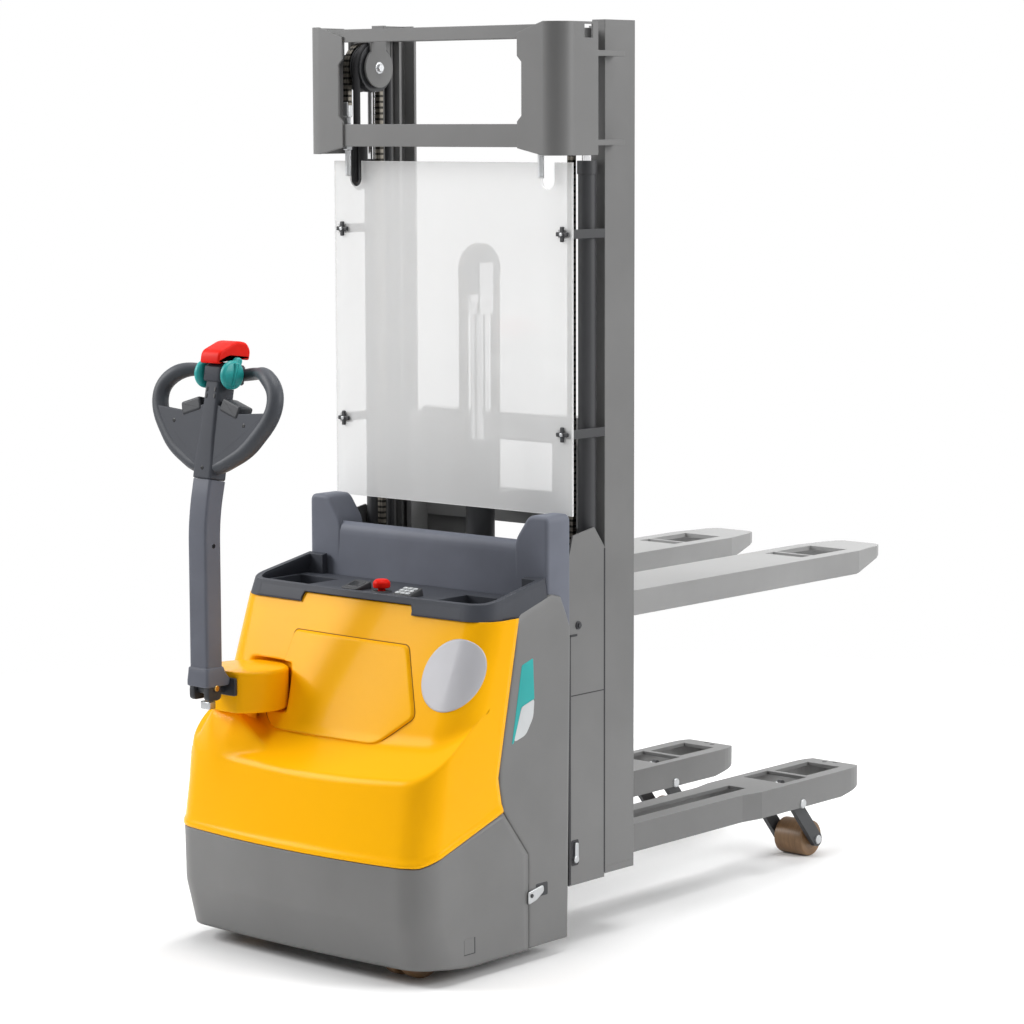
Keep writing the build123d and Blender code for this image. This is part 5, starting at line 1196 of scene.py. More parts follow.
    def hood_face(self, x: np.ndarray, z: np.ndarray) -> np.ndarray:
        """The hood's upper front: the outline's front arc at each height, with the rounding at its foot.

        Args:
            x: X of the points.
            z: Z of the points.

        Returns:
            Y of the points.
        """
        front, bow, corner = self.between(z, (self.shelf, self.edge))
        big = self.plan.arcs(self.half, front, bow, corner)[1]
        reach, low, high = self.face_round
        return front + big - np.sqrt(big**2 - x**2) - reach * (1 - smooth_step(z, low, high))

    def side_panel(self) -> Shape:
        """Right side panel: a sheet from seam to rear edge that leans in at the top, with a round rim.

        Returns:
            The open sheet.
        """
        near, far = (0.0, 0.004, 0.012, 0.024), (0.976, 0.988, 0.996, 1.0)
        share = np.concatenate((near, np.linspace(0.05, 0.95, 24), far))
        s, t = np.meshgrid(share, share, indexing="ij")
        low, edge = self.panel_low, self.panel_rim
        z = low + s * 0.72
        for _ in range(self.panel_rounds):
            front = np.interp(z, self.seam_z, self.seam_y) + self.gap
            rear = np.interp(z, *self.panel_rear)
            y = front + t * (rear - front)
            high = np.interp(y, *self.panel_top)
            z = low + s * (high - low)
        rim = np.minimum.reduce((y - front, rear - y, high - z, z - low))
        round_off = edge * (1 - np.sqrt(1 - (1 - np.clip(rim / edge, 0.0, 1.0)) ** 2))
        reach, lean_low, lean_high = self.panel_lean
        lean = reach * smooth_step(z, lean_low, lean_high) ** 1.5
        return grid(np.stack((self.half - round_off - lean, y, z), -1))

    def sides(self) -> None:
        """Both side panels with their latches, shade painted in the latch recesses, and the plain flash of
        colour.
        """
        panel, half = self.side_panel(), self.half
        for side, shape in (("right", panel), ("left", panel.mirrored())):
            node = (f"side_panel_{side}",)
            BENCH.make(f"side_skin_{side}", shape, Finish.GREY, DRIVE, node, self.wall, self.middle)
        face = (half - 0.001, half + 0.0006)
        # A dark patch painted as the shade in the recess behind each latch; the boss on it is the latch's own
        recess = slab(face, (-0.358, -0.320), (0.136, 0.164), 0.004, 0.0005, "X")
        boss = button(0.0045, (half, half + 0.006), 0.001, (0.0, -0.376, 0.143), "X", 20)
        hook = plate(outline(self.hook_line, 0.005), (half, half + 0.0045), "X", 0.0015)
        BENCH.make("latch_shade_and_bosses", (recess + boss).both(), Finish.IRON, DRIVE)
        BENCH.make("latch_hooks", hook.both(), Finish.PLATED, DRIVE, ("side_latches",))
        white, teal = outline(self.white_line, 0.010), outline(self.teal_line, 0.004)
        BENCH.make("flash_white", plate(white, face, "X", 0.0004), Finish.KEYPAD, DRIVE)
        BENCH.make("flash_teal", plate(teal, face, "X", 0.0004), Finish.TEAL, DRIVE)

    def disc(self) -> None:
        """Plain silver disc on the hood's right corner: a round patch that follows the plan outline."""
        radius, height, lift, shift = self.badge
        count = 64
        ring, turn = np.meshgrid(
            np.sqrt(np.linspace(0.0004, 1.0, 14)), np.arange(count) * 2 * np.pi / count, indexing="ij"
        )
        z = height + radius * ring * np.sin(turn)
        front, bow, corner = self.between(z, (self.shelf, self.edge))
        reach, big, centre, last = self.plan.arcs(self.half, front, bow, corner)
        run = last * corner + shift + radius * ring * np.cos(turn)
        on_corner = run < last * corner
        angle = np.clip(run / corner, 0.0, last)
        sweep = last + np.maximum(run - last * corner, 0.0) / big
        x = np.where(on_corner, reach + (corner + lift) * np.cos(angle), (big + lift) * np.cos(sweep))
        on_front = front + big - (big + lift) * np.sin(sweep)
        y = np.where(on_corner, centre - (corner + lift) * np.sin(angle), on_front)
        patch = grid(np.stack((x, y, z), -1), ring=True)
        patch.caps.append(np.arange(count)[::-1])
        BENCH.make("badge_disc", patch, Finish.SILVER, DRIVE, (), 0.002, self.middle)

    def build(self) -> None:
        """Makes every cover."""
        self.hood()
        self.apron()
        self.hatch()
        self.sides()
        self.disc()


@dataclass
class Console:
    """Dark console deck: rounded rim, display, keys and the emergency stop."""

    # Plan outline at the lower and the upper level
    half: Pair = (0.353, 0.342)
    front: Pair = (-0.524, -0.502)
    corner: Pair = (0.062, 0.058)
    levels: Pair = (0.733, 0.803)
    bow: float = 0.007
    rear: float = -0.306
    rim_level: float = 0.768
    rim_rise: Point = (0.0355, -0.504, -0.276)  # height gained to the rear, and the range of Y for it
    rim_width: float = 0.015
    rim_round: Pair = (0.010, 0.005)  # outside and inside
    tab_half: float = 0.161
    skirt: Pair = (0.755, 0.7345)  # lower edge at the hood's raised middle and beside it
    floor: float = 0.758
    frame_top: float = 0.763
    display: Line = ((-0.098, -0.050), (-0.462, -0.414))
    keys: Line = ((0.058, 0.108), (-0.474, -0.424))
    key_pitch: Pair = (0.0136, 0.0128)
    stop: Point = (-0.002, -0.437, 0.0)
    plate_tilt: float = 14.0
    plan: PlanLine = field(default_factory=lambda: PlanLine(16, 14, 36))

    def rim(self) -> None:
        """Rim: a closed profile (outer wall, rounded top, inner wall) carried along the plan outline."""
        top_out, top_in = np.linspace(0.0, np.pi / 2, 6), np.linspace(np.pi / 2, np.pi, 5)
        big, small = self.rim_round
        outer = np.column_stack((big * (1 - np.cos(top_out)), -big * (1 - np.sin(top_out))))
        across = self.rim_width - small - small * np.cos(top_in)
        inner = np.column_stack((across, -small * (1 - np.sin(top_in))))
        skirt_mark, floor_mark = -1.0, -2.0
        profile = np.vstack(((0.0, skirt_mark), outer, inner, (self.rim_width, floor_mark)))
        inset, drop = profile[:, :1], profile[:, 1:]
        z = np.full((len(profile), len(self.plan.shares()[0])), self.rim_level)
        rise, low, high = self.rim_rise
        for _ in range(6):
            tapers = (self.half, self.front, self.corner)
            half, front, corner = (np.interp(z, self.levels, pair) for pair in tapers)
            x, y = self.plan.half_line((half - inset, front + inset, self.bow, corner - inset), self.rear)
            top = self.rim_level + rise * smooth_step(y, low, high) + drop
            skirt = np.where(np.abs(x) < self.tab_half, *self.skirt)
            z = np.where(drop == floor_mark, self.floor - 0.003, np.where(drop == skirt_mark, skirt, top))
        ring = self.plan.whole(np.stack((x, y, z), -1))
        BENCH.make("console_rim", tunnel(np.swapaxes(ring, 0, 1)), Finish.ANTHRACITE, DRIVE)

    def panels(self) -> None:
        """Display with its window, and a square of nine pale keys."""
        node, level, top = ("console_panels",), self.floor, self.frame_top
        x, y = self.display
        bezel = slab(x, y, (level - 0.010, top), 0.006, 0.002)
        pane = ((x[0] + 0.007, x[1] - 0.007), (y[0] + 0.012, y[1] - 0.008))
        window = slab(*pane, (level, top + 0.0006), 0.003, 0.0004)
        BENCH.make("display_bezel", self.tilted(bezel, y[0]), Finish.IRON, DRIVE, node)
        BENCH.make("display_window", self.tilted(window, y[0]), Finish.WINDOW, DRIVE)
        x, y = self.keys
        base = slab(x, y, (level - 0.012, top), 0.006, 0.002)
        BENCH.make("key_base", self.tilted(base, y[0]), Finish.IRON, DRIVE, node)
        key = slab(about(0.0, 0.0052), about(0.0, 0.0045), (level, top + 0.002), 0.0016, 0.0008)
        middle = np.mean(self.keys, 1)
        steps = [np.array((i, j)) for i in (-1, 0, 1) for j in (-1, 0, 1)]
        pad = sum(key.moved(*(middle + np.array(self.key_pitch) * step)) for step in steps)
        BENCH.make("key_caps", self.tilted(pad, y[0]), Finish.KEYPAD, DRIVE)

    def tilted(self, shape: Shape, front: float) -> Shape:
        """Raises the rear of a console plate by turning it about its front edge."""
        flat = shape.moved(0.0, -front, -self.floor)
        return flat.turned("X", self.plate_tilt).moved(0.0, front, self.floor)

    def stop_button(self) -> None:
        """Red mushroom button: a turned profile on a collar."""
        stem = [(0.008, 0.747), (0.008, 0.766)]
        cap = [(0.0185, 0.767), (0.0185, 0.779), (0.013, 0.785), (0.002, 0.786)]
        mushroom = lathe(bend(stem + cap, 0.003), self.stop, "Z")
        BENCH.make("stop_mushroom", mushroom, Finish.RED, "estop", ("estop_button",))
        collar = [(0.022, 0.756), (0.022, 0.7595), (0.0205, 0.761), (0.0105, 0.761), (0.0095, 0.756)]
        BENCH.make("stop_collar", lathe(collar, self.stop, "Z"), Finish.IRON, DRIVE)

    def build(self) -> None:
        """Makes every piece of the console."""
        self.rim()
        self.panels()
        self.stop_button()


@dataclass
class SteeringHead:
    """Round yellow turret that the tiller stands on."""

    place: Pair = (-0.209, -0.637)
    radius: float = 0.089
    low: float = 0.515
    high: float = 0.602
    flat: float = -0.712
    shaft: float = 0.020
    sprocket: Point = (0.045, 0.366, 0.378)  # radius, lower and upper end
    lug_front: float = -0.771
    lug_half: float = 0.012
    pin: Pair = (-0.757, 0.573)  # Y and Z
    pin_half: float = 0.034

    def build(self) -> None:
        """Turret: a turned profile with round edges, cut flat at the front, on its shaft and sprocket."""
        centre = (*self.place, 0.0)
        corners = [(0.02, self.low), (self.radius, self.low), (self.radius, self.high), (0.01, self.high)]
        turret = lathe(bend(corners, (0.005, 0.010)), centre, "Z", 72)
        turret.points[:, 1] = np.maximum(turret.points[:, 1], self.flat)
        wide, low, high = self.sprocket
        stem = [(wide, low), (wide, high), (self.shaft, high), (self.shaft, self.low + 0.004)]
        turret += lathe(stem, centre, "Z", 32)
        BENCH.make("turret", turret, Finish.YELLOW, "steering", ("steering_head",))
        self.bracket()

    def bracket(self) -> None:
        """Bracket of the tiller: a plate on the flat, a round-ended lug and the bright pin through it."""
        x, y, front, node = self.place[0], self.flat, self.lug_front, ("tiller_bracket",)
        back = slab(about(x, 0.047), (y - 0.007, y + 0.001), (0.552, 0.590), 0.005, 0.002, "Y")
        line = [(front, 0.559), (y - 0.004, 0.556), (y - 0.004, 0.588), (front, 0.587)]
        lug = plate(outline(line, (0.013, 0.002, 0.002, 0.013)), about(x, self.lug_half), "X", 0.002)
        BENCH.make("tiller_lug", back + lug, Finish.KEYBLACK, "steering", node)
        tip = slab((x - self.lug_half, x + 0.016), (-0.764, -0.744), (0.526, 0.5425), 0.004, 0.002)
        BENCH.make("lug_foot", tip, Finish.PLATED, "steering")
        ends = (self.pin_half, -self.pin_half)
        pin = sum(button(0.0065, (0.0, end), 0.0015, (x, *self.pin), "X") for end in ends)
        BENCH.make("tiller_pin", pin, Finish.BRASS, "steering", node)


@dataclass
class Tiller:
    """Column, head, grips and controls of the tiller; head pieces are drawn upright at their own origin."""

    x: float = -0.209
    head_y: float = -0.73948
    head_z: float = 1.010
    lean: float = -11.0
    column_half: float = 0.0275
    column_y: Pair = (-0.779, -0.733)
    bend_z: float = 0.925
    bend_reach: float = 0.045
    boot_half: float = 0.0325
    boot_y: Pair = (-0.784, -0.7145)
    cheek_x: Pair = (0.014, 0.029)
    # Rows of spine and hub, as loft takes them
    spine: Line = (
        (0.0255, -0.0220, 0.0210, 0.007, -0.0005), (0.0285, -0.0245, 0.0230, 0.009, 0.002),
        (0.0280, -0.0250, 0.0230, 0.009, 0.030), (0.0240, -0.0265, 0.0230, 0.009, 0.080),
        (0.0215, -0.0270, 0.0230, 0.009, 0.150), (0.0210, -0.0270, 0.0230, 0.009, 0.205),
    )
    hub: Line = (
        (0.026, -0.030, 0.040, 0.010, 0.2035), (0.028, -0.032, 0.044, 0.012, 0.207),
        (0.028, -0.032, 0.044, 0.012, 0.233), (0.027, -0.022, 0.043, 0.012, 0.2415),
        (0.024, -0.014, 0.040, 0.010, 0.2455),
    )
    shield_line: Sequence[Pair] = (
        (0.010, 0.024), (0.044, 0.032), (0.108, 0.067), (0.166, 0.134), (0.168, 0.146), (0.080, 0.139),
        (0.010, 0.158),
    )
    shield_round: Range = (0.004, 0.016, 0.030, 0.006, 0.004, 0.016, 0.006)
    grip_radius: float = 0.017
    grip_line: Sequence[Point] = (
        (0.020, 0.036, 0.224), (0.062, 0.035, 0.230), (0.122, 0.002, 0.229), (0.171, -0.006, 0.192),
        (0.170, -0.007, 0.138), (0.108, -0.007, 0.065), (0.044, -0.007, 0.031), (0.004, -0.006, 0.022),
    )
    grip_round: Range = (0.018, 0.034, 0.034, 0.040, 0.030, 0.014)
    # Distance along the grip, and share of its radius there
    grip_swell: Sequence[Pair] = ((0.0, 0.74), (0.05, 0.82), (0.12, 1.04), (0.30, 1.06))
    grip_end: float = 0.92
    belly_line: Sequence[Pair] = (
        (-0.043, 0.2395), (-0.044, 0.264), (0.004, 0.294), (0.034, 0.294), (0.047, 0.278), (0.046, 0.258),
        (-0.014, 0.254), (-0.0345, 0.2395),
    )
    belly_round: Range = (0.003, 0.012, 0.014, 0.010, 0.008, 0.004, 0.010, 0.003)
    switch_place: Point = (0.0, -0.010, 0.220)
    # Radius and X of the disc's profile; Y and Z of the paddle's corners from the shaft
    switch_disc: Sequence[Pair] = (
        (0.008, 0.0295), (0.025, 0.0295), (0.0315, 0.036), (0.029, 0.046), (0.012, 0.0485), (0.001, 0.049),
    )
    switch_paddle: Sequence[Pair] = ((-0.006, 0.022), (0.008, 0.040), (0.022, 0.036), (0.018, 0.014))

    def on_head(self, shape: Shape) -> Shape:
        """Leans a head piece back and puts it on top of the column."""
        return shape.turned("X", self.lean).moved(self.x, self.head_y, self.head_z)

    def column(self) -> None:
        """Column: rounded rectangles from the boot to the bend and the leaning top, with two cheeks below."""
        slope = np.tan(np.radians(-self.lean))
        (y0, y1), (b0, b1) = self.column_y, self.boot_y
        half, wide, reach = self.column_half, self.boot_half, self.bend_reach
        rows = [
            (wide - 0.003, b0 + 0.003, b1 - 0.006, 0.006, 0.5755),
            (wide, b0, b1 - 0.003, 0.008, 0.578),
            (wide, b0, b1, 0.008, 0.588),
            (half + 0.0035, y0 - 0.0035, y1 + 0.006, 0.008, 0.604),
            (half + 0.0030, y0 - 0.0030, y1 + 0.003, 0.008, 0.613),
            (half + 0.0018, y0 - 0.0018, y1 + 0.0018, 0.008, 0.6155),
            (half, y0, y1, 0.008, 0.6165),
        ]
        for z in np.linspace(*about(self.bend_z, reach), 11):
            back = slope * (z - self.bend_z + reach) ** 2 / (4 * reach)
            rows.append((half, y0 + back, y1 + back, 0.008, z))
        back = slope * (self.head_z - self.bend_z)
        rows.append((half, y0 + back, y1 + back, 0.008, self.head_z - 0.0024))
        rows.append((half - 0.001, y0 + back + 0.001, y1 + back - 0.001, 0.007, self.head_z - 0.0012))
        column = loft(rows)
        share = smooth_step(column.points[:, 2], self.bend_z, self.head_z)
        column.points[:, 2] -= share * slope * (column.points[:, 1] - self.head_y)
        cheek = slab(self.cheek_x, (-0.779, -0.740), (0.546, 0.580), 0.011, 0.003, "X")
        screw = button(0.0050, (half - 0.001, half + 0.0006), 0.0006, (0.0, -0.756, 0.873), "X", 14)
        node = ("tiller_column",)
        BENCH.make("tiller_column_skin", column.moved(self.x), Finish.COLUMN, "tiller", node)
        BENCH.make("tiller_cheeks", cheek.both().moved(self.x), Finish.KEYBLACK, "tiller", node)
        BENCH.make("column_screws", screw.both().moved(self.x), Finish.WINDOW, "tiller")

    def head(self) -> None:
        """Head: a spine of rounded rectangles, a hub across its top and a shield on each side."""
        shield = plate(outline(self.shield_line, self.shield_round), (-0.0225, 0.008), "Y", 0.002)
        whole = loft(self.spine) + loft(self.hub) + shield.both()
        BENCH.make("tiller_head_skin", self.on_head(whole), Finish.ANTHRACITE, "tiller", ("tiller_head",))
        wells = button(0.0045, (-0.0205, -0.0229), 0.0004, (0.104, 0.0, 0.116), "Y", 18).both()
        wells += button(0.0042, (-0.0235, -0.0256), 0.0004, (0.0, 0.0, 0.022), "Y", 18)
        BENCH.make("head_screws", self.on_head(wells), Finish.WINDOW, "tiller")
        # Dark slots painted as the shade inside the vents on the spine's front
        places = [(x, z) for x in (-0.012, 0.012) for z in (0.168, 0.182)]
        vent_shade = sum(
            slab(about(x, 0.0022), (-0.0285, -0.026), (z, z + 0.009), 0.001, 0.0006, "Y") for x, z in places
        )
        BENCH.make("head_vent_shade", self.on_head(vent_shade), Finish.IRON, "tiller")

    def grips(self) -> None:
        """Grips: a round profile along each loop, from behind the switch, thicker where the hand holds."""
        path = bend(self.grip_line, self.grip_round, 9)
        run = np.concatenate(([0.0], np.cumsum(np.linalg.norm(np.diff(path, axis=0), axis=1))))
        swell = np.array((*self.grip_swell, (run[-1], self.grip_end)))
        loop = tube(path, (0.0, 1.0, 0.0), self.grip_radius * np.interp(run, swell[:, 0], swell[:, 1]), 20)
        BENCH.make("grip_loops", self.on_head(loop.both()), Finish.GRIP, "tiller", ("tiller_grips",))

    def belly(self) -> None:
        """Red button: a rounded profile across the head with a lip in front of the hub."""
        cap = plate(outline(self.belly_line, self.belly_round), about(0.0, 0.0285), "X", 0.0055, 7)
        BENCH.make("belly_cap", self.on_head(cap), Finish.RED, "belly", ("belly_button",))

    def switch(self) -> None:
        """Teal travel switch: two discs with paddles on one shaft."""
        _, y, z = self.switch_place
        wheel = lathe(bend(self.switch_disc, 0.005), self.switch_place, "X", 48)
        paddle = outline([(y + dy, z + dz) for dy, dz in self.switch_paddle], 0.007)
        rib = slab((0.046, 0.0525), about(y, 0.005), (z - 0.024, z + 0.026), 0.003, 0.0025, "X")
        side = wheel + plate(paddle, (0.031, 0.045), "X", 0.004) + rib
        shaft = lathe([(0.0078, -0.030), (0.0078, 0.030)], self.switch_place, "X", 20)
        whole = self.on_head(side.both() + shaft)
        BENCH.make("travel_discs", whole, Finish.TEAL, "travel", ("travel_switch",))

    def rockers(self) -> None:
        """Rocker keys: sloping blocks with rounded edges."""
        key = slab((0.0, 0.056), (-0.0245, 0.016), (-0.003, 0.026), 0.006, 0.004, "Y")
        key = key.turned("Y", 17.0).moved(0.028, 0.0, 0.1465)
        for side, shape in (("right", key), ("left", key.mirrored())):
            body = f"rocker_{side[0]}"
            BENCH.make(f"rocker_key_{side}", self.on_head(shape), Finish.KEYBLACK, body, (f"rocker_{side}",))

    def build(self) -> None:
        """Makes every piece of the tiller."""
        self.column()
        self.head()
        self.grips()
        self.belly()
        self.switch()
        self.rockers()


# Load section and mast
LOAD = "load_section"
SHEAVE = (-0.190, 1.867)  # Y and Z of the axis of the chain sheaves and the hose pulley


@dataclass
class UprightPanel:
    """Dark panel behind the console with a solid ear at each end."""

    half: float = 0.345
    front: float = -0.300
    rear: float = -0.225
    low: float = 0.600
    high: float = 0.877
    bow: float = 0.004
    lip: Pair = (0.010, 0.93)  # how far back, and the share of the height where it starts
    ear_top: float = 0.932
    ear_low: float = 0.655
    ear_inner: float = 0.252
    ear_round: Range = (0.006, 0.010, 0.016, 0.014, 0.018)

    def build(self) -> None:
        """Wall: a sheet that swells forward by bow * cos across its height, between two rounded ears."""
        x, s = np.meshgrid(np.linspace(-self.half + 0.004, self.half - 0.004, 60), even(28))
        z = self.low + s * (self.high - self.low)
        reach, start = self.lip
        lip = reach * np.clip((s - start) / (1 - start), 0.0, 1.0) ** 2
        swell = self.bow * np.cos(np.pi * (s - 0.35)) * np.cos(np.pi * x / (2.4 * self.half))
        wall = grid(np.stack((x, self.front - swell + lip, z), -1))
        node = ("upright_panel",)
        BENCH.make("upright_wall", wall, Finish.PANEL, LOAD, node, 0.005, (0.0, 0.0, 0.75))
        half, inner, top = self.half, self.ear_inner, self.ear_top
        line = [(inner, self.ear_low), (half, self.ear_low), (half, top), (0.292, top), (inner, 0.876)]
        ear = plate(outline(line, self.ear_round), (self.front - 0.001, self.rear), "Y", 0.008)
        BENCH.make("upright_ears", ear.both(), Finish.PANEL, LOAD, node)


@dataclass
class Strands:
    """Leaf chains and hose; each hangs in a front strand, a wrap over its wheel and a rear strand."""

    thick: float = 0.012
    plates: int = 4
    chain_x: Pair = (0.269, 0.285)
    chain_inner: float = 0.044
    chain_bottoms: Pair = (1.786, 0.300)  # lower ends in front and behind
    free_x: Pair = (-0.0095, 0.0095)
    free_wheel: Point = (-0.121, 1.430, 0.046)  # Y and Z of the axis, and inner radius of the chain
    free_bottoms: Pair = (0.985, 0.940)
    hose_x: float = -0.250
    hose_pitch: float = 0.050
    hose_radius: float = 0.008
    hose_bottoms: Pair = (1.726, 0.300)

    def bands(self, path: np.ndarray, x: Range) -> Shape:
        """Several thin bands side by side, as the plates of a leaf chain.

        Args:
            path: Y and Z of the chain's points.
            x: range in X over all the plates.

        Returns:
            The bands in one shape.
        """
        pitch = (x[1] - x[0]) / self.plates
        edges = [(x[0] + n * pitch, x[0] + (n + 0.78) * pitch) for n in range(self.plates)]
        return sum(strip(path, edge, self.thick * (1.0 if n % 2 else 0.88)) for n, edge in enumerate(edges))

    def hang(
        self,
        name: str,
        skin: Callable[[np.ndarray], Shape],
        wheel: Point,
        bottoms: Pair,
        coat: tuple[Finish, str],
        bodies: tuple[str, str, str],
        steps: int = 25,
    ) -> None:
        """One chain or hose over one wheel.

        Args:
            name: start of the pieces' names.
            skin: turns a path of Y and Z into a shape.
            wheel: Y and Z of the wheel's axis, and the radius of the path.
            bottoms: Z of the lower ends of the front and the rear strand.
            coat: finish, and CAD node that the pieces stand for.
            bodies: body of the front anchor, of the wheel and of the rear anchor.
            steps: points on the wrap.
        """
        y, z, pitch = wheel
        finish, node = coat
        turn = np.linspace(np.pi, 0.0, steps)
        wrap = np.column_stack((y + pitch * np.cos(turn), z + pitch * np.sin(turn)))
        BENCH.make(f"{name}_wrap", skin(wrap), finish, bodies[1], (node,))
        strands = (("front", -1, bottoms[0], bodies[:2]), ("rear", 1, bottoms[1], bodies[:0:-1]))
        for side, sign, low, pair in strands:
            at = y + sign * pitch
            shape = skin(np.array(((at, low), (at, z))))
            BENCH.make(f"{name}_{side}", shape, finish, pair, (node,))

    def hose(self, path: np.ndarray) -> Shape:
        """The hydraulic hose along a path of Y and Z."""
        points = np.column_stack((np.full(len(path), self.hose_x), path))
        return tube(points, (1.0, 0.0, 0.0), self.hose_radius, 14)

    def build(self) -> None:
        """Makes the chains and the hose beside the left one."""
        stages = (LOAD, "middle_stage", "inner_stage")
        half = self.thick / 2
        lift, free = (Finish.CHAIN, "lift_chains"), (Finish.CHAIN, "free_lift_chain")
        for side, sign in (("right", 1), ("left", -1)):
            x = sorted(sign * edge for edge in self.chain_x)
            wheel = (*SHEAVE, self.chain_inner + half)
            skin = lambda path, x=x: self.bands(path, x)
            self.hang(f"lift_chain_{side}", skin, wheel, self.chain_bottoms, lift, stages)
        y, z, inner = self.free_wheel
        bodies = ("inner_stage", "free_rod", "carriage")
        skin = lambda path: self.bands(path, self.free_x)
        self.hang("free_chain", skin, (y, z, inner + half), self.free_bottoms, free, bodies)
        wheel, coat = (*SHEAVE, self.hose_pitch), (Finish.RUBBER, "hoses")
        self.hang("hose", self.hose, wheel, self.hose_bottoms, coat, stages, 33)


@dataclass
class MastFittings:
    """Fasteners, clamps and pins on the mast, the screen and the arms."""

    screen_front: float = -0.217
    bolt_x: float = 0.317
    bolt_z: Pair = (1.516, 1.096)
    clamp: Pair = (0.016, 0.0045)  # half length and half width
    tab_x: Pair = (0.3303, 0.3358)
    tab_y: Pair = (-0.2117, -0.0997)
    tab_half: float = 0.0097
    stud: Point = (0.277, -0.240, 0.0)
    thread_z: Pair = (1.634, 1.730)
    face_x: float = 0.335
    # Ranges in Y and Z of each dark strip painted as the shade in a seam of the mast covers
    seam_shade_strips: Sequence[tuple[Pair, Pair]] = (
        ((-0.2203, -0.2135), (0.132, 0.672)), ((-0.2203, -0.192), (0.667, 0.672)),
        ((-0.212, -0.102), (0.539, 0.5412)), ((-0.1025, -0.0985), (0.140, 0.846)),
    )
    cover_bolt: Point = (0.0, -0.189, 0.690)
    pivot: Point = (0.0, 0.722, 0.147)
    pivot_x: Sequence[Pair] = ((0.259, 0.273), (0.121, 0.107))
    axle: Point = (0.0, 0.813, 0.0425)
    axle_x: Sequence[Pair] = ((0.247, 0.253), (0.133, 0.127))
    arm_hole_shade: Sequence[Point] = ((0.172, 0.948, 0.0), (0.196, 0.957, 0.0))
    tail: Point = (-0.284, -0.197, 1.622)  # middle of the loop's two lower ends
    tail_half: float = 0.011
    tail_top: float = 1.712

    def screen(self) -> None:
        """Dark crossed clamps, sleeves on the screen's tabs and bright bolts at the corners of the screen."""
        x, y = self.bolt_x, self.screen_front
        long, short = self.clamp
        clamps, bolts = [], []
        for z in self.bolt_z:
            clamps.append(slab(about(x, long), (y - 0.005, y), about(z, short), 0.002, 0.0015, "Y"))
            clamps.append(slab(about(x, short), (y - 0.0052, y), about(z, long), 0.002, 0.0015, "Y"))
            clamps.append(slab(self.tab_x, self.tab_y, about(z, self.tab_half), 0.002, 0.001, "X"))
            bolts.append(button(0.0042, (y - 0.004, y - 0.0085), 0.0015, (x, 0.0, z), "Y", 18))
        BENCH.make("screen_clamps", sum(clamps).both(), Finish.IRON, LOAD)
        BENCH.make("screen_bolts", sum(bolts).both(), Finish.PLATED, LOAD, ("mast_fasteners",))

    def studs(self) -> None:
        """Chain anchors: threaded studs, radius r + a sin along their length, with nuts and washers."""
        count, centre = 90, self.stud
        thread = 0.0066 + 0.0005 * np.sin(np.arange(count) * 2.1)
        thread = np.column_stack((thread, np.linspace(*self.thread_z, count)))
        rod = lathe(np.vstack(((0.005, 1.632), thread, (0.007, 1.740), (0.007, 1.786))), centre, "Z", 18)
        nut = hexagon(0.012, (1.6985, 1.7115), centre, "Z") + hexagon(0.011, (1.689, 1.698), centre, "Z")
        eye = slab(about(centre[0], 0.007), about(centre[1], 0.009), (1.760, 1.794), 0.005, 0.002, "X")
        BENCH.make("anchor_studs", (rod + nut + eye).both(), Finish.PLATED, LOAD, ("mast_fasteners",))

    def pairs(self) -> None:
        """Small pieces on both sides: bolts and catches of the mast covers with shade painted in their seams
        and recesses, pins of the arms, and shade painted in the arms' holes.
        """
        x = self.face_x
        face = (x - 0.001, x + 0.0007)
        bolt = button(0.009, (x, x + 0.003), 0.0012, self.cover_bolt, "X")
        bolt += hexagon(0.0055, (x + 0.003, x + 0.0065), self.cover_bolt, "X")
        catch = slab((x, x + 0.005), (-0.204, -0.192), (0.184, 0.222), 0.005, 0.002, "X")
        catch += button(0.008, (x, x + 0.006), 0.002, (0.0, -0.200, 0.186), "X", 20)
        # Dark strips painted as the shade in the covers' seams, and a dark patch painted as the shade in the
        # recess behind each catch
        seam_shade_strips = sum(slab(face, y, z, 0.0008, 0.0003, "X") for y, z in self.seam_shade_strips)
        recess = slab(face, (-0.212, -0.188), (0.172, 0.228), 0.004, 0.0004, "X")
        # Dark discs painted as the shade inside the holes near the arms' tips
        hole_shade = sum(button(0.006, (0.1985, 0.2014), 0.0004, place, "Z", 16) for place in self.arm_hole_shade)
        pieces = (
            ("cover_bolts", Finish.IRON, bolt),
            ("cover_seam_shade", Finish.BATTERY, seam_shade_strips),
            ("cover_recess_shade", Finish.BATTERY, recess),
            ("cover_catches", Finish.PLATED, catch),
            ("pivot_pins", Finish.PLATED, self.caps(self.pivot_x, self.pivot)),
            ("arm_hole_shade", Finish.IRON, hole_shade),
        )
        for name, finish, shape in pieces:
            BENCH.make(name, shape.both(), finish, LOAD)

    @staticmethod
    def caps(spans: Sequence[Pair], centre: Point) -> Shape:
        """Rounded ends of a pin along X."""
        return sum(button(0.011, span, 0.002, centre, "X") for span in spans)

    def build(self) -> None:
        """Makes every fitting."""
        self.screen()
        self.studs()
        self.pairs()
        axle = self.caps(self.axle_x, self.axle)
        BENCH.make("axle_caps_right", axle, Finish.PLATED, "link_right")
        BENCH.make("axle_caps_left", axle.mirrored(), Finish.PLATED, "link_left")
        centre = (0.0, *SHEAVE)
        hub = hexagon(0.009, (-0.2285, -0.2215), centre, "X")
        hub += button(0.013, (-0.2290, -0.2270), 0.0008, centre, "X")
        BENCH.make("sheave_bolts", hub.both(), Finish.PLATED, "middle_stage")
        (x, y, z), half, top = self.tail, self.tail_half, self.tail_top
        turn = np.linspace(0.0, np.pi, 17)
        loop = np.column_stack((x - half * np.cos(turn), np.full(17, y), z - half * np.sin(turn)))
        legs = np.vstack(((x - half, y, top), loop, (x + half, y, top)))
        BENCH.make("hose_tail", tube(legs, (0.0, 1.0, 0.0), 0.0105, 14), Finish.RUBBER, LOAD)


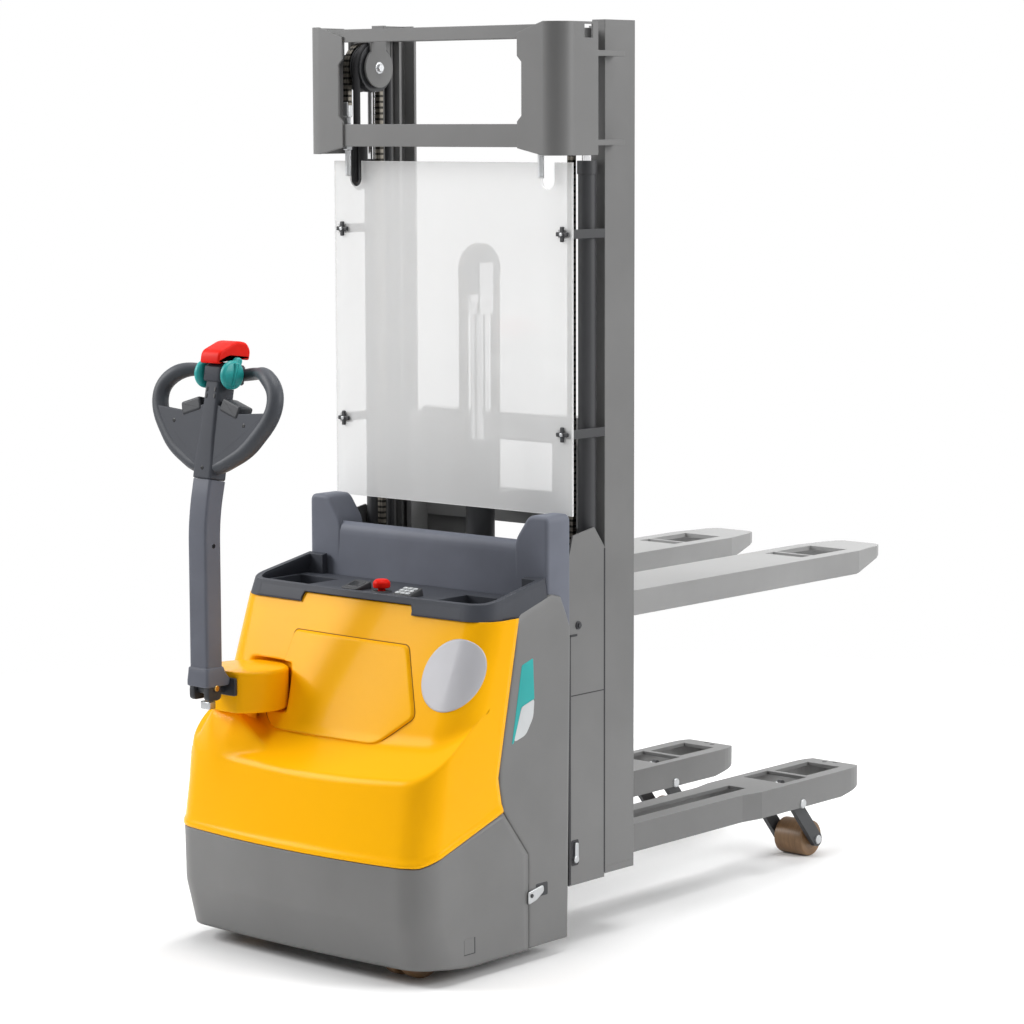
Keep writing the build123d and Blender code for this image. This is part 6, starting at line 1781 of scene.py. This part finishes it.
# Studio
@dataclass
class Studio:
    """Pale floor, soft lamps and the camera of the photograph."""

    eye: Point = (4.6587, -5.4091, 1.7522)
    yaw: float = 40.8134
    pitch: float = 6.9009
    roll: float = 0.158
    lens: float = 113.73
    sensor: float = 36.0
    far: float = 200.0
    floor_half: float = 40.0
    floor_whites: tuple[Rgb, Rgb] = ((0.93, 0.93, 0.93), (0.96, 0.96, 0.96))
    fade: Pair = (1.6, 3.4)  # distances between which the floor fades out
    ambient: float = 0.28
    # Name, place, aim, size and power of each lamp
    lamps: Sequence[tuple[str, Point, Point, float, float]] = (
        ("key", (-4.9, -4.2, 4.2), (0.0, -0.3, 0.9), 3.4, 400.0),
        ("side", (5.6, 2.6, 3.4), (0.0, 0.0, 0.9), 3.2, 260.0),
        ("top", (0.2, 0.2, 6.2), (0.0, 0.0, 0.6), 3.6, 250.0),
        ("rear", (-1.0, 6.0, 4.6), (0.0, 0.0, 0.8), 3.6, 200.0),
    )

    @staticmethod
    def add(name: str, data: Any) -> bpy.types.Object:
        """Puts an object into the scene.

        Args:
            name: the object's name.
            data: its mesh, lamp or camera.

        Returns:
            The object.
        """
        made = bpy.data.objects.new(name, data)
        bpy.context.scene.collection.objects.link(made)
        return made

    def camera(self) -> None:
        """Puts the camera where the photograph was taken from."""
        yaw, pitch, roll = np.radians([self.yaw, self.pitch, self.roll])
        ahead = Vector((-np.sin(yaw) * np.cos(pitch), np.cos(yaw) * np.cos(pitch), -np.sin(pitch)))
        level = Vector((np.cos(yaw), np.sin(yaw), 0.0))
        down = ahead.cross(level)
        right = level * np.cos(roll) + down * np.sin(roll)
        drop = down * np.cos(roll) - level * np.sin(roll)
        data = bpy.data.cameras.new("photo_camera")
        data.lens, data.sensor_width, data.clip_end = self.lens, self.sensor, self.far
        made = self.add("photo_camera", data)
        turn = Matrix((right, -drop, -ahead)).transposed().to_4x4()
        made.matrix_world = Matrix.Translation(Vector(self.eye) + Vector(SHIFT)) @ turn
        bpy.context.scene.camera = made

    def light(self) -> None:
        """Hangs the soft lamps and sets surroundings that look white but light the scene less."""
        for name, place, aim, size, power in self.lamps:
            data = bpy.data.lights.new(name, "AREA")
            data.size, data.energy = size, power
            way = Vector(aim) - Vector(place)
            turn = way.to_track_quat("-Z", "Y").to_matrix().to_4x4()
            self.add(name, data).matrix_world = Matrix.Translation(place) @ turn
        graph = Graph(bpy.data.worlds.new("studio_world"))
        kinds = ("Camera", "Transmission", "Glossy")
        seen, through, shine = (graph.node("ShaderNodeLightPath", {}, {}, f"Is {kind} Ray") for kind in kinds)
        strength = graph.clamp(seen.larger(through).larger(shine), 0.0, 1.0, (self.ambient, 1.0))
        back = graph.node("ShaderNodeBackground", {}, {"Color": (1.0, 1.0, 1.0, 1.0), "Strength": strength})
        graph.node("ShaderNodeOutputWorld", {}, {"Surface": back})
        bpy.context.scene.world = graph.owner

    def floor(self) -> None:
        """Lays the pale floor, which fades out into the white surroundings but keeps the shadow."""
        half = self.floor_half
        mesh = bpy.data.meshes.new("floor")
        corners = [(-half, -half, 0), (half, -half, 0), (half, half, 0), (-half, half, 0)]
        mesh.from_pydata(corners, [], [(0, 1, 2, 3)])
        graph = Graph(bpy.data.materials.new("floor_white"))
        base = graph.blend(graph.noise(3.0), *self.floor_whites)
        away = graph.node("ShaderNodeVectorMath", {"operation": "LENGTH"}, {0: graph.place()}, "Value")
        fade = 1.0 - graph.clamp(away, *self.fade)
        mesh.materials.append(graph.surface(Base_Color=base, Roughness=0.9, Alpha=fade))
        self.add("floor", mesh)

    def build(self) -> None:
        """Sets up the whole studio."""
        self.camera()
        self.light()
        self.floor()
        bpy.context.scene.view_settings.view_transform = "Standard"


def main() -> None:
    """Builds the scene in order."""
    logging.basicConfig(level=logging.INFO, format="%(name)s: %(message)s")
    Studio().build()
    PAINT.coat_cad_nodes()
    for assembly in (Covers, Console, SteeringHead, Tiller, UprightPanel, Strands, MastFittings):
        assembly().build()


if __name__ == "__main__":
    main()
